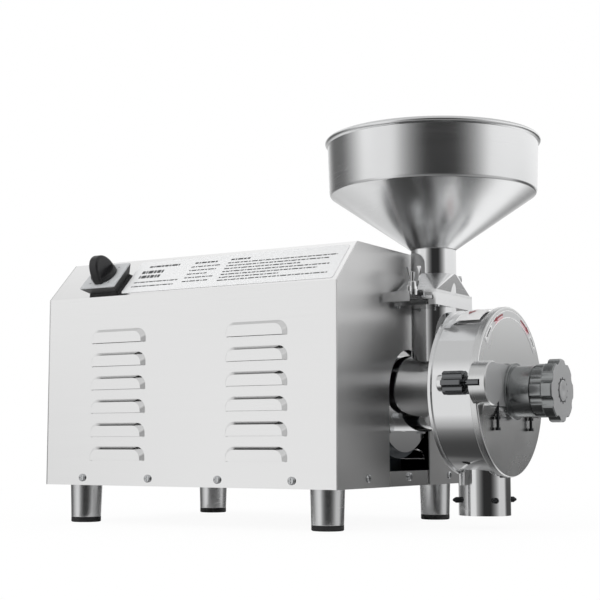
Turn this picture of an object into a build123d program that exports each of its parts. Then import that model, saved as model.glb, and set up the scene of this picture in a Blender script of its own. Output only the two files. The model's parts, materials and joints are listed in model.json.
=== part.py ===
from build123d import *
from math import atan2, cos, degrees, hypot, pi, radians, sin, tan
import os

# Electric grain mill: a sheet-metal casing on four feet holds the motor, and the motor's shaft
# runs out through a feed housing into a disc grinding head with a hopper above it.
#
# Working frame, in millimetres: x runs from the casing's rear face towards the grinding head,
# y is zero on the shaft and negative on the operator's side, z is zero on the bench.
# export_all() moves the finished pieces so that the origin is on the bench under their middle.

# ------------------------------------------------------------------ casing
CASE_L = 400.0            # length of the casing
CASE_W = 334.0            # width of the casing
WALL_H = 220.0            # height of the upright side walls
CASE_H = 267.0            # height of the casing without its feet
CHAMFER_Y = 46.0          # how far the sloping shoulders reach in
SHEET = 1.5               # thickness of the casing sheet
TRAY_T = 2.0              # thickness of the base tray
TRAY_LIP = 17.0           # height of the tray's upturned edges
PANEL_FLANGE = 12.0       # depth of the end panels' return flange
ARCH_R = 50.7             # half width and crown radius of the arch round the feed housing

# ------------------------------------------------------------------ louvres
LOUVRE_L = 79.5
LOUVRE_H = 15.5
LOUVRE_OUT = 5.0          # how far a louvre stands out of the wall
LOUVRE_R = 11.0           # radius of a louvre's upper corners
LOUVRE_SLANT = 3.2        # how much smaller the raised outline is, on each side
LOUVRE_ROWS = 6
LOUVRE_PITCH = 27.2
LOUVRE_Z = 29.0           # lowest louvre's lower edge above the casing's bottom
LOUVRE_REAR = 106.7       # from the rear face to the middle of the rear column
LOUVRE_FRONT = 101.8      # from the front face to the middle of the front column
LOUVRE_X = (LOUVRE_REAR, CASE_L - LOUVRE_FRONT)

# ------------------------------------------------------------------ feet
FOOT_H = 44.5
FOOT_TOP_R = 18.8
FOOT_LOW_R = 17.6
FOOT_WALL = 2.0
FOOT_INSET_X = 32.6
FOOT_INSET_Y = 35.2
PAD_H = 6.0               # height of the rubber below the tube
PAD_PLUG = 10.0           # height of the rubber inside the tube
FOOT_BOLT_R = 4.0

# ------------------------------------------------------------------ shaft line
SHAFT_H = 105.0           # height of the shaft above the casing's bottom
SHAFT_R = 12.5
SHAFT_END_R = 8.0         # turned-down end that carries the grinding disc
RUN_FIT = 0.05            # radial clearance of a running fit
SEAT_FIT = 0.05           # radial clearance of pieces seated on each other

# ------------------------------------------------------------------ motor
MOTOR_INSET = 14.0        # from the motor's front face to the casing's front face
FRONT_SHIELD_T = 22.0
REAR_SHIELD_T = 18.0
HOUSING_L = 196.0
COWL_L = 62.0
FEED_FLANGE_X = CASE_L - MOTOR_INSET  # front face of the motor, where the feed housing is bolted on
FRONT_SHIELD_X = FEED_FLANGE_X - FRONT_SHIELD_T
HOUSING_X = FRONT_SHIELD_X - HOUSING_L
REAR_SHIELD_X = HOUSING_X - REAR_SHIELD_T
COWL_X = REAR_SHIELD_X - COWL_L       # rear face of the fan cowl
HOUSING_R = 74.0
HOUSING_WALL = 4.0
FIN_H = 6.0
FIN_T = 3.0
FIN_COUNT = 20
FIN_END_GAP = 26.0        # plain band left at each end of the housing for the cradle
COWL_WALL = 1.5
STATOR_INSET = 47.0       # from the rear shield to the laminations
STATOR_L = 110.0
STATOR_X = (HOUSING_X + STATOR_INSET, HOUSING_X + STATOR_INSET + STATOR_L)
STATOR_DEPTH = 32.0       # from the housing's outside to the stator's bore
STATOR_BORE_R = HOUSING_R - STATOR_DEPTH
AIR_GAP = 0.5
WINDING_L = 20.0
WINDING_R = (HOUSING_R - 26.0, HOUSING_R - 8.0)
FAN_R = HOUSING_R - 12.0
FAN_INSET = 16.0          # from the cowl's rear face to the fan
FAN_L = 22.0
FAN_X = (COWL_X + FAN_INSET, COWL_X + FAN_INSET + FAN_L)
FAN_BLADES = 8
BEARING_W = 14.0
REAR_BEARING_R = 23.5
FRONT_BEARING_R = 26.0
BEARING_WALL = 5.0        # metal round a bearing in its shield
CRADLE_T = 10.0           # thickness of a cradle saddle
CRADLE_BASE_T = 5.0
CRADLE_HALF_W = HOUSING_R - 12.0      # half width of a saddle
CRADLE_FOOT_W = HOUSING_R + 2.0       # half width of the cradle's base plate
MOTOR_BOLT_R = 4.0
RIVET_NUT_T = 1.4         # flange of the rivet nuts under the tray

# ------------------------------------------------------------------ electrics
CAP_R = (22.0, 19.0)      # starting and running capacitors
CAP_L = (92.0, 74.0)
CAP_X = 70.0              # rear end of both capacitors
CAP_Y = (-118.0, 118.0)
CLAMP_T = 1.5
CLAMP_W = 14.0
GLAND_Y = 96.0
GLAND_H = 46.0            # height of the cable inlet above the casing's bottom
GLAND_R = 8.0             # threaded barrel
GLAND_BORE_R = 5.0
GLAND_HEX = 24.0          # across the flats
GLAND_OUT = 18.0
GLAND_IN = 12.0
SWITCH_X = 78.5
SWITCH_S = 24.0           # distance up the shoulder
SWITCH_L = 51.0
SWITCH_W = 43.0
SWITCH_T = 11.0
SWITCH_FLARE = 5.0        # how much smaller the block is where it meets the shoulder, on each side
SWITCH_PLATE_T = 2.0
SWITCH_KNOB_R = 16.0
SWITCH_KNOB_H = 6.0
SWITCH_GRIP_H = 27.0
SWITCH_GRIP_W = 13.0
SWITCH_SPINDLE_R = 4.0
CAM_SIZE = 38.0
CAM_DEPTH = 44.0

# ------------------------------------------------------------------ feed housing and inlet
FEED_FLANGE_R = 67.0
FEED_FLANGE_T = 8.0
FEED_R = 43.5
FEED_WALL = 3.5
FEED_BOLT_PCR = 57.0
FEED_BOLT_R = 3.0
FEED_BOLT_COUNT = 4
FEED_BOLT_TURN = 45.0     # the first bolt's angle from the far side
SEAL_R = 20.0
AUGER_CORE_R = 18.0
AUGER_PITCH = 26.0
AUGER_T = 3.0
AUGER_RUN = 1.0           # clearance of the flight in the barrel
AUGER_END = 4.0
INLET_OUT = 46.0          # from the motor's front face to the inlet's axis
INLET_X = FEED_FLANGE_X + INLET_OUT   # axis of the hopper and the inlet tube
INLET_R = 26.0
INLET_WALL = 2.0
FLANGE_L = 52.0           # size of the gate flanges along x
FLANGE_W = 96.0           # and along y
LOW_FLANGE_Z = 246.0
LOW_FLANGE_T = 6.0
RAIL_H = 4.5
RAIL_W = 4.0
UP_FLANGE_T = 3.5
PORT_R = 20.5             # hole that the gate opens and shuts
FLANGE_SCREW_R = 1.5
FLANGE_SCREW_INSET = 6.0
GATE_FIT = 0.35
GATE_TRAVEL = 46.0
GATE_LAP = 5.0            # how far the shut gate reaches past the port
GATE_TONGUE_X = (INLET_X - 28.5, INLET_X + 5.0)
GATE_LIP_Y = -72.0
GATE_LIP_T = 3.0
GATE_LIP_Z = (248.5, 259.5)
GATE_PIN_R = 3.0
GATE_PIN_Y = -65.5
GATE_PIN_TOP = 266.5
LUG_Y = 54.0              # distance of each hopper stud from the middle
LUG_R = 7.0
STUD_R = 3.0
STUD_TOP = 283.0
WING_HUB_R = 6.0
WING_HUB_H = 9.0
WING_SPAN = 20.0
WING_H = 21.0
WING_T = 3.0

# ------------------------------------------------------------------ hopper
FOOT_PLATE_T = 3.0
PYRAMID_TOP = 284.0
NECK_R = 26.0
NECK_SLACK = 0.52         # how far the foot's crown stops short of a full circle
NECK_WALL = 1.5
CONE_Z = 313.5
SEAM_Z = 377.0
RIM_Z = 438.5
SEAM_R = 118.5
RIM_R = 121.5
BEAD_R = 3.4
HOPPER_SHEET = 1.2
SEAM_BAND = 1.6           # small step that marks the seam between cone and wall

# ------------------------------------------------------------------ grinding head
DRUM_OUT = 35.0           # from the inlet's axis to the drum's rear face
DRUM_L = 49.0
DRUM_X = (INLET_X + DRUM_OUT, INLET_X + DRUM_OUT + DRUM_L)
DRUM_R = 90.0
DRUM_WALL = 3.0
DRUM_BACK_T = 4.0
DRUM_LIP_R = 92.0
GASKET_T = 1.0
COVER_T = 8.0
COVER_X = (DRUM_X[1] + GASKET_T, DRUM_X[1] + GASKET_T + COVER_T)
COVER_R = 93.8
COVER_EDGE = 1.2
ROTOR_INSET = 8.0         # from the drum's rear face to the rotating disc's carrier
ROTOR_X = DRUM_X[0] + ROTOR_INSET
CARRIER_T = 6.0
CARRIER_R = 72.0
DISC_T = 7.0
DISC_R = 75.0
DISC_GAP = 1.0
DISC_GROOVES = 16
DISC_GROOVE_W = 4.0
DISC_GROOVE_T = 1.5
SPIDER_R = (21.0, 37.0)   # feed windows of the rotating disc
DISC_HOLE_R = 22.0
NUT_H = 6.0
NUT_ACROSS = 24.0
BOSS_R = 18.0             # threaded boss behind the stationary disc
BOSS_L = 10.0
SPINDLE_R = 8.0
SPINDLE_COLLAR_R = 13.0
SPINDLE_COLLAR_T = 5.0
SPINDLE_TIP_GAP = 4.0
GUIDE_R = 3.0
GUIDE_PCR = 32.0
GUIDE_COUNT = 2
GUIDE_TURN = 0.0
GUIDE_DEPTH = 4.5         # how deep the guide pins may go into the stationary disc
HUB_L = 31.0              # from the cover to the face that the knob turns against
HUB_X = COVER_X[1] + HUB_L
HUB_R = 28.0
HUB_RING_R = 31.5
HUB_RING_T = 3.0
KNOB_GAP = 0.3
KNOB_SKIRT_L = 15.0
KNOB_HEAD_L = 13.4
KNOB_SKIRT_X = HUB_X + KNOB_SKIRT_L
KNOB_X = KNOB_SKIRT_X + KNOB_HEAD_L
KNOB_SKIRT_R = 29.0
KNOB_R = 34.3
KNOB_LOBES = 8
KNOB_CAP_R = 11.3         # washer head of the screw in the knob's face
KNOB_SCREW_H = 2.4
KNOB_SOCKET = 6.0         # across the flats
ARM_Z = 155.5             # height of the clamp arm's bosses
ARM_T = 4.0
ARM_BOTTOM = 121.5
ARM_TOP = 178.0
ARM_BEVEL = (3.0, 11.0)
ARM_BOSS_R = 23.5
ARM_BOSS_X = (COVER_X[1] - 4.0, COVER_X[1] + 15.0)
ARM_BOSS_Y = 83.0
ARM_BOLT_Y = 47.0
ARM_BOLT_R = 1.6
ARM_BOLT_LEN = 15.0
ARM_NUT_R = 3.2
HINGE_BACK = 6.0          # from the cover's face back to the hinge pin
HINGE_X = COVER_X[1] - HINGE_BACK
HINGE_Y = 112.0
HINGE_R = 8.0
HINGE_PIN_R = 4.0
HINGE_KNUCKLE_H = 30.0
HINGE_EAR_T = 12.0
HINGE_GAP = 0.3
PIN_HEAD_R = 6.0
PIN_HEAD_T = 3.0
LOCK_Y = -104.0
LOCK_X = (COVER_X[1] - 31.0, COVER_X[1] - 8.5)
LOCK_R = 13.2
LOCK_LOBES = 6
LOCK_SHANK_R = 4.0
LOCK_THREAD_L = 12.0      # how deep the star screw goes into the arm's boss
LOCK_TIP_R = 3.0
LOCK_TIP_L = 3.0
LUG_X = (LOCK_X[0] - 6.5, LOCK_X[0] - 0.5)
LUG_HOLE_R = 4.3
LUG_HALF_H = 9.0

# ------------------------------------------------------------------ outlet
OUTLET_OUT = 24.6         # from the drum's rear face to the spout's axis
OUTLET_X = DRUM_X[0] + OUTLET_OUT
OUTLET_R = 28.7
OUTLET_WALL = 2.0
OUTLET_Z = 14.0
OUTLET_ROOF_Z = 52.0      # height where the round bore narrows to the chamber's width
THROAT_STEP = 1.0         # how much narrower the throat is than the spout
OUTLET_PIN_Z = 31.0
OUTLET_PIN_R = 3.2
OUTLET_PIN_L = 8.5

# ------------------------------------------------------------------ sheet screws
SCREW_R = 2.0
SCREW_HEAD_R = 4.5
SCREW_HEAD_H = 2.6
SCREW_L = 9.0
SCREW_Z = 8.6             # height above the casing's bottom
SCREW_PITCH = 96.0
END_SCREW_Y = 102.0
END_SCREW_Z = 10.5
HOLE_FIT = 0.2            # radial clearance of a screw in its hole
OVER = 1.0                # how far cutting tools run past a face

# ------------------------------------------------------------------ proportions
BOLT_ACROSS = 3.25        # bolts: head across the flats, per radius
BOLT_HEAD = 1.3
BOLT_TAIL = 2.6           # thread beyond the joint
NUT_THICK = 1.6
FLANGE_WIDE = 2.0         # rivet nut's flange
PAN_ROUND = 0.6           # pan-head screws: rounding of the head, per head height
PAN_SLOT_L = 1.2
PAN_SLOT_W = 0.22
PAN_SLOT_D = 0.8
LOBE_EDGE = 0.04          # lobed grips: chamfer, per radius
LOBE_HOLLOW = 0.62        # width of the hollows, per pitch
STAR_DEPTH = 0.3
SKIRT_DEPTH = 0.1
KNOB_DEPTH = 0.12
LOUVRE_TALL = 0.7         # largest corner radius of a louvre, per height and per width
LOUVRE_WIDE = 0.4
PAD_ROUND = 0.25
SADDLE_TOP = 0.5          # how far up the housing a saddle reaches, per housing radius
COWL_SLOTS = 16
COWL_SLOT_R = 0.56        # fan cowl's slots: middle, length and width, per housing radius
COWL_SLOT_L = 0.5
COWL_SLOT_W = 0.08
WINDING_ROUND = 0.2
FAN_PLATE = 0.15          # fan: back plate and blade thickness, per fan length
FAN_BLADE_T = 0.12
FAN_HUB = 1.6             # hub, per shaft radius
FAN_BLADE_R = 0.62        # middle and length of a blade, per fan radius
FAN_BLADE_L = 0.7
CAN_EDGE = 0.12           # capacitors: rounding and terminals, per can radius
CAN_PITCH = 0.35
CAN_PIN_L = 0.4
CLAMP_FOOT = 1.6
GLAND_FLAT = 0.35         # gland: hexagon, barrel, cap and locknut
GLAND_BARREL = 0.7
GLAND_CAP = 0.42
GLAND_ROUND = 0.1
GLAND_LOCKNUT = 0.4
PLATE_EDGE = 0.3
DIAL_ROUND = 0.3
GRIP_ROUND = 0.22
DIAL_SPINDLE = 0.4        # how far the switch's spindle goes into the contact block
WING_TAPER = 0.85         # wing nuts
WING_ROOT = 0.5
WING_LOW = 0.35
WING_HIGH = 0.8
WING_SLOPE = 0.3
WING_TIP = 0.33
STUD_EDGE = 0.25
SCREW_HEAD = 1.8          # flange screws: head radius and height, per radius
SCREW_HEAD_T = 1.4
PIN_ROUND = 0.5
EAR_ROOT = 0.8            # where ears and lugs meet the drum, per drum radius
PIN_EDGE = 0.25
PIN_SHANK = 0.6
PIN_POINT = 0.35
SOCKET_DEPTH = 0.3
GASKET_W = 0.8
BOSS_REACH = 0.5          # how far the small bolts reach up into the arm, per boss radius
SMALL_ACROSS = 1.73
WALL_SCREW_STEPS = (-1.5, -0.5, 0.5, 1.5)
WINDOW_HALF = 30.0        # half angle of a feed window
WINDOW_COUNT = 4
OUTLET_PINS = 4
OUTLET_PIN_TURN = 45.0

# ------------------------------------------------------------------ worked-out values
CASE_Z = FOOT_H
SHAFT_Z = CASE_Z + SHAFT_H
TOP_Z = CASE_Z + CASE_H
EAVE_Z = CASE_Z + WALL_H
HALF_W = CASE_W / 2
SLOPE = atan2(CASE_H - WALL_H, CHAMFER_Y)
TRAY_TOP = CASE_Z + TRAY_T
GATE_Z = LOW_FLANGE_Z + LOW_FLANGE_T
UP_FLANGE_Z = GATE_Z + RAIL_H
PLATE_Z = UP_FLANGE_Z + UP_FLANGE_T
CONE_R = NECK_R
DISC_X = ROTOR_X + CARRIER_T
FIXED_DISC_X = DISC_X + DISC_T + DISC_GAP
FIXED_CARRIER_X = FIXED_DISC_X + DISC_T
BOSS_END = FIXED_CARRIER_X + CARRIER_T + BOSS_L
NUT_END = DISC_X + DISC_T + NUT_H
ARM_X = COVER_X[1] + ARM_T
KNOB_BACK = HUB_X + KNOB_GAP
FEED_X = FEED_FLANGE_X + FEED_FLANGE_T
SHOULDER = Plane(origin=(0, -HALF_W, EAVE_Z), x_dir=(1, 0, 0), z_dir=(0, -sin(SLOPE), cos(SLOPE)))


# ------------------------------------------------------------------ shape helpers
def box(x, y, z):
    """A box from pairs of limits along x, y and z."""
    size = [pair[1] - pair[0] for pair in (x, y, z)]
    centre = [(pair[0] + pair[1]) / 2 for pair in (x, y, z)]
    return Pos(*centre) * Box(*size)


def rod_x(radius, x0, x1, y=0.0, z=SHAFT_Z):
    """A cylinder along x, on the shaft's line unless told otherwise."""
    return Pos((x0 + x1) / 2, y, z) * Rot(0, 90, 0) * Cylinder(radius, x1 - x0)


def rod_z(radius, z0, z1, x, y):
    """An upright cylinder."""
    return Pos(x, y, (z0 + z1) / 2) * Cylinder(radius, z1 - z0)


def tube_x(outer, inner, x0, x1, y=0.0, z=SHAFT_Z):
    """A tube along x."""
    return rod_x(outer, x0, x1, y, z) - rod_x(inner, x0 - OVER, x1 + OVER, y, z)


def tube_z(outer, inner, z0, z1, x, y):
    """An upright tube."""
    return rod_z(outer, z0, z1, x, y) - rod_z(inner, z0 - OVER, z1 + OVER, x, y)


def face_x(x, y=0.0, z=SHAFT_Z):
    """A plane that faces along +x, with its own x along +y and its own y upwards."""
    return Plane(origin=(x, y, z), x_dir=(0, 1, 0), z_dir=(1, 0, 0))


def group(pieces):
    """Separate solids of one node."""
    return Compound([solid for piece in pieces for solid in piece.solids()])


def hex_prism(across, height):
    """A hexagonal prism that stands on z = 0."""
    return extrude(RegularPolygon(across / 2, 6, major_radius=False), height)


def pan_screw():
    """A pan-head screw with a cross recess; the underside of its head is at z = 0."""
    head = Pos(0, 0, SCREW_HEAD_H / 2) * Cylinder(SCREW_HEAD_R, SCREW_HEAD_H)
    head = fillet(head.edges().group_by(Axis.Z)[-1], SCREW_HEAD_H * PAN_ROUND)
    shank = Pos(0, 0, -SCREW_L / 2) * Cylinder(SCREW_R, SCREW_L)
    recess = SCREW_HEAD_R * PAN_SLOT_L
    slot = Pos(0, 0, SCREW_HEAD_H) * Box(recess, SCREW_HEAD_R * PAN_SLOT_W, SCREW_HEAD_H * PAN_SLOT_D)
    return head + shank - slot - Rot(0, 0, 90) * slot


def hex_bolt(radius, across, head_h, length):
    """A hexagon-head bolt along z, with the underside of its head at z = 0."""
    return hex_prism(across, head_h) + Pos(0, 0, -length / 2) * Cylinder(radius, length)


def lobed(radius, lobes, x0, x1, depth, y=0.0, z=SHAFT_Z):
    """A grip along x with round hollows between its lobes."""
    body = rod_x(radius, x0, x1, y, z)
    body = chamfer(body.edges().filter_by(GeomType.CIRCLE), radius * LOBE_EDGE)
    hollow_r = pi * radius / lobes * LOBE_HOLLOW
    reach = radius - depth + hollow_r
    for index in range(lobes):
        angle = 2 * pi * (index + 0.5) / lobes
        body -= rod_x(hollow_r, x0 - OVER, x1 + OVER, y + reach * cos(angle), z + reach * sin(angle))
    return body


def around(count, radius, start):
    """Points (y, z) on a circle round the shaft."""
    turns = [radians(start + 360.0 * index / count) for index in range(count)]
    return [(radius * cos(turn), SHAFT_Z + radius * sin(turn)) for turn in turns]


# ------------------------------------------------------------------ casing
def case_outline(inset, bottom):
    """The casing's cross-section in the y-z plane, moved in by inset, with its own lower edge."""
    half = HALF_W - inset
    eave = EAVE_Z - inset * tan((pi / 2 - SLOPE) / 2)
    top_half = HALF_W - CHAMFER_Y - inset * tan(SLOPE / 2)
    top = TOP_Z - inset
    points = [(-half, bottom), (-half, eave), (-top_half, top), (top_half, top), (half, eave), (half, bottom)]
    plane = face_x(0.0, z=0.0)
    return make_face(Polyline([plane.from_local_coords((y, z, 0)) for y, z in points], close=True))


def case_prism(inset, x0, x1, bottom=CASE_Z):
    """The casing's cross-section drawn out from x0 to x1."""
    return Pos(x0, 0, 0) * extrude(case_outline(inset, bottom), x1 - x0, dir=(1, 0, 0))


def wall_screw_places():
    """Where the long walls are screwed to the tray: position and outward direction."""
    places = []
    for side in (-1, 1):
        for step in WALL_SCREW_STEPS:
            places.append(((CASE_L / 2 + step * SCREW_PITCH, side * HALF_W, CASE_Z + SCREW_Z), (0, side, 0)))
    return places


def end_screw_places():
    """Where the end panels are screwed to the tray, and the screw in the front lip."""
    z = CASE_Z + END_SCREW_Z
    places = [((CASE_L, y, z), (1, 0, 0)) for y in (-END_SCREW_Y, END_SCREW_Y)]
    places += [((0.0, y, z), (-1, 0, 0)) for y in (-END_SCREW_Y, 0.0, END_SCREW_Y)]
    places.append(((CASE_L - SHEET, 0.0, z), (1, 0, 0)))
    return places


def screw_holes(radius):
    """Cutters for every casing screw."""
    holes = []
    for place, out in wall_screw_places() + end_screw_places():
        holes.append(Plane(origin=place, z_dir=out).location * Cylinder(radius, 2 * SCREW_L + 2 * OVER))
    return holes


def louvre_outline(inset, drop):
    """A louvre's outline: straight below and rounded at the upper corners."""
    width = LOUVRE_L - 2 * inset
    height = LOUVRE_H - inset + drop
    outline = Pos(0, (LOUVRE_H - inset - drop) / 2) * Rectangle(width, height)
    radius = min(LOUVRE_R, height * LOUVRE_TALL, width * LOUVRE_WIDE)
    return fillet(outline.vertices().group_by(Axis.Y)[-1], radius)


def louvre_block(inset, out):
    """The raised shape of a louvre, cut level with its lower edge."""
    low = Plane.XY * louvre_outline(inset, LOUVRE_H / 2)
    high = Plane.XY.offset(out) * louvre_outline(inset + LOUVRE_SLANT, LOUVRE_H / 2)
    block = loft([low, high])
    keep = Pos(0, LOUVRE_H, 0) * Box(2 * LOUVRE_L, 2 * LOUVRE_H, 4 * LOUVRE_OUT)
    return block & keep


def louvre_planes():
    """A plane on the wall for each louvre, at the middle of its lower edge."""
    planes = []
    for side in (-1, 1):
        for x in LOUVRE_X:
            for row in range(LOUVRE_ROWS):
                z = CASE_Z + LOUVRE_Z + row * LOUVRE_PITCH
                planes.append(Plane(origin=(x, side * HALF_W, z), x_dir=(-side, 0, 0), z_dir=(0, side, 0)))
    return planes


def switch_hole(radius):
    """A cutter through the shoulder on the switch's axis."""
    return SHOULDER.location * Pos(SWITCH_X, SWITCH_S, 0) * Cylinder(radius, 8 * SHEET)


def casing_cover():
    """One sheet folded over the top: both long walls, both shoulders and the roof."""
    sheet = case_prism(0.0, SHEET, CASE_L - SHEET)
    sheet -= case_prism(SHEET, 0.0, CASE_L, CASE_Z - OVER)
    outer = louvre_block(0.0, LOUVRE_OUT)
    inner = Pos(0, 0, -SHEET) * louvre_block(SHEET, LOUVRE_OUT)
    window = Pos(0, 0, -2 * SHEET) * extrude(louvre_outline(SHEET, 0.0), 2 * SHEET + OVER)
    sheet += [plane.location * outer for plane in louvre_planes()]
    cuts = [plane.location * (inner + window) for plane in louvre_planes()]
    sheet -= cuts + screw_holes(SCREW_R + HOLE_FIT)
    return sheet - switch_hole(SWITCH_SPINDLE_R + 2 * OVER)


def end_panel(x_out, x_in):
    """An end panel with its return flange; x_out is its outer face and x_in its inner face."""
    low, high = min(x_out, x_in), max(x_out, x_in)
    inward = 1 if x_in > x_out else -1
    panel = case_prism(0.0, low, high)
    flange_low, flange_high = sorted((x_in, x_in + inward * PANEL_FLANGE))
    flange_foot = CASE_Z + TRAY_LIP + OVER
    flange = case_prism(SHEET, flange_low, flange_high, flange_foot)
    flange -= case_prism(2 * SHEET, flange_low - OVER, flange_high + OVER, flange_foot - OVER)
    return panel + flange


def end_panel_front():
    """The panel behind the grinding head, with the arch that the feed housing comes through."""
    panel = end_panel(CASE_L, CASE_L - SHEET)
    cut = (CASE_L - SHEET - OVER, CASE_L + OVER)
    panel -= rod_x(ARCH_R, *cut)
    panel -= box(cut, (-ARCH_R, ARCH_R), (CASE_Z - OVER, SHAFT_Z))
    return panel - screw_holes(SCREW_R + HOLE_FIT)


def end_panel_rear():
    """The plain rear panel with the cable inlet's hole."""
    panel = end_panel(0.0, SHEET) - screw_holes(SCREW_R + HOLE_FIT)
    return panel - rod_x(GLAND_R + SEAT_FIT, -OVER, 2 * SHEET, GLAND_Y, CASE_Z + GLAND_H)


def base_tray():
    """The floor of the casing with its upturned lips."""
    half = HALF_W - SHEET
    span = (SHEET, CASE_L - SHEET)
    tray = box(span, (-half, half), (CASE_Z, CASE_Z + TRAY_LIP))
    inside = (span[0] + TRAY_T, span[1] - TRAY_T)
    tray -= box(inside, (-half + TRAY_T, half - TRAY_T), (TRAY_TOP, CASE_Z + TRAY_LIP + OVER))
    tray -= screw_holes(SCREW_R + SEAT_FIT)
    for x, y in foot_places():
        tray -= rod_z(FOOT_BOLT_R + HOLE_FIT, CASE_Z - OVER, TRAY_TOP + OVER, x, y)
    for x, y in motor_bolt_places():
        tray -= rod_z(MOTOR_BOLT_R + HOLE_FIT, CASE_Z - OVER, TRAY_TOP + OVER, x, y)
    return tray


def casing_screws():
    """The pan-head screws round the foot of the casing."""
    screw = pan_screw()
    places = wall_screw_places() + end_screw_places()
    return group([Plane(origin=place, z_dir=out).location * screw for place, out in places])


# ------------------------------------------------------------------ feet
def foot_places():
    """The four feet's axes."""
    xs = (FOOT_INSET_X, CASE_L - FOOT_INSET_X)
    ys = (-HALF_W + FOOT_INSET_Y, HALF_W - FOOT_INSET_Y)
    return [(x, y) for x in xs for y in ys]


def foot_tubes():
    """Slightly tapered tubes, closed at the top where they are bolted to the tray."""
    length = FOOT_H - PAD_H
    outer = Pos(0, 0, PAD_H + length / 2) * Cone(FOOT_LOW_R, FOOT_TOP_R, length)
    hollow_h = length - 2 * FOOT_WALL
    inner_r = FOOT_LOW_R - FOOT_WALL
    tube = outer - rod_z(inner_r, PAD_H - OVER, PAD_H + hollow_h, 0, 0)
    tube -= rod_z(FOOT_BOLT_R + HOLE_FIT, PAD_H, FOOT_H + OVER, 0, 0)
    return group([Pos(x, y, 0) * tube for x, y in foot_places()])


def foot_pads():
    """Rubber ends that plug into the tubes."""
    pad = rod_z(FOOT_LOW_R, 0, PAD_H, 0, 0)
    pad = fillet(pad.edges().group_by(Axis.Z)[0], PAD_H * PAD_ROUND)
    pad += rod_z(FOOT_LOW_R - FOOT_WALL - SEAT_FIT, PAD_H - OVER, PAD_H + PAD_PLUG, 0, 0)
    return group([Pos(x, y, 0) * pad for x, y in foot_places()])


def foot_bolts():
    """Bolts that hold the feet, with their heads inside the tubes and nuts on the tray."""
    grip = 2 * FOOT_WALL + TRAY_T
    across = FOOT_BOLT_R * BOLT_ACROSS
    nut = hex_prism(across, FOOT_BOLT_R * NUT_THICK)
    nut -= Cylinder(FOOT_BOLT_R + SEAT_FIT, FOOT_BOLT_R * 4 * NUT_THICK)
    bolt = hex_bolt(FOOT_BOLT_R, across, FOOT_BOLT_R * BOLT_HEAD, grip + FOOT_BOLT_R * BOLT_TAIL)
    pair = [Pos(0, 0, -grip) * Rot(180, 0, 0) * bolt, nut]
    return group([Pos(x, y, TRAY_TOP) * piece for x, y in foot_places() for piece in pair])


# ------------------------------------------------------------------ motor
def cradle_saddles():
    """Where the two saddles of the cradle stand along x."""
    first = HOUSING_X + FIN_END_GAP / 2
    last = FRONT_SHIELD_X - FIN_END_GAP / 2
    return [(x - CRADLE_T / 2, x + CRADLE_T / 2) for x in (first, last)]


def motor_bolt_places():
    """The bolts that hold the cradle to the tray."""
    (first, _), (_, last) = cradle_saddles()
    y = CRADLE_FOOT_W - 2 * MOTOR_BOLT_R
    return [(x, side * y) for x in (first + CRADLE_T * 2.5, last - CRADLE_T * 2.5) for side in (-1, 1)]


def motor_cradle():
    """A base plate with two saddles under the motor."""
    saddles = cradle_saddles()
    base_top = TRAY_TOP + CRADLE_BASE_T
    base = box((saddles[0][0], saddles[1][1]), (-CRADLE_FOOT_W, CRADLE_FOOT_W), (TRAY_TOP, base_top))
    for span in saddles:
        base += box(span, (-CRADLE_HALF_W, CRADLE_HALF_W), (TRAY_TOP, SHAFT_Z - HOUSING_R * SADDLE_TOP))
    base -= rod_x(HOUSING_R + SEAT_FIT, 0, CASE_L)
    for x, y in motor_bolt_places():
        base -= rod_z(MOTOR_BOLT_R + HOLE_FIT, CASE_Z, base_top + OVER, x, y)
    return base


def motor_bolts():
    """Bolts through the cradle's base plate into flat rivet nuts in the tray."""
    grip = CRADLE_BASE_T + TRAY_T
    bolt = hex_bolt(MOTOR_BOLT_R, MOTOR_BOLT_R * BOLT_ACROSS, MOTOR_BOLT_R * BOLT_HEAD, grip)
    bolt += Pos(0, 0, -grip - RIVET_NUT_T / 2) * Cylinder(MOTOR_BOLT_R * FLANGE_WIDE, RIVET_NUT_T)
    return group([Pos(x, y, TRAY_TOP + CRADLE_BASE_T) * bolt for x, y in motor_bolt_places()])


def motor_housing():
    """The finned tube round the stator."""
    housing = rod_x(HOUSING_R, HOUSING_X, FRONT_SHIELD_X)
    fin_span = (HOUSING_X + FIN_END_GAP, FRONT_SHIELD_X - FIN_END_GAP)
    length = fin_span[1] - fin_span[0]
    radius = HOUSING_R + FIN_H / 2
    fin = Pos(0, radius, 0) * Box(length, FIN_H + 2 * HOUSING_WALL, FIN_T)
    middle = Pos(sum(fin_span) / 2, 0, SHAFT_Z)
    for index in range(FIN_COUNT):
        housing += middle * Rot(360.0 * index / FIN_COUNT, 0, 0) * fin
    return housing - rod_x(HOUSING_R - HOUSING_WALL, HOUSING_X - OVER, FRONT_SHIELD_X + OVER)


def shield(x0, x1, bearing_r, boss_in):
    """A motor end shield with a bored bearing seat; boss_in is the seat's inner end."""
    spigot_low, spigot_high = sorted((boss_in, (x0 + x1) / 2))
    body = rod_x(HOUSING_R, x0, x1) + rod_x(bearing_r + BEARING_WALL, spigot_low, spigot_high)
    seat = boss_in + (BEARING_W if boss_in < x0 else -BEARING_W)
    body -= rod_x(bearing_r + SEAT_FIT, *sorted((boss_in, seat)))
    return body - rod_x(SHAFT_R + OVER, x0 - 2 * BEARING_W, x1 + 2 * BEARING_W)


def motor_rear_shield():
    """The end shield under the fan."""
    return shield(REAR_SHIELD_X, HOUSING_X, REAR_BEARING_R, HOUSING_X + OVER)


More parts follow.
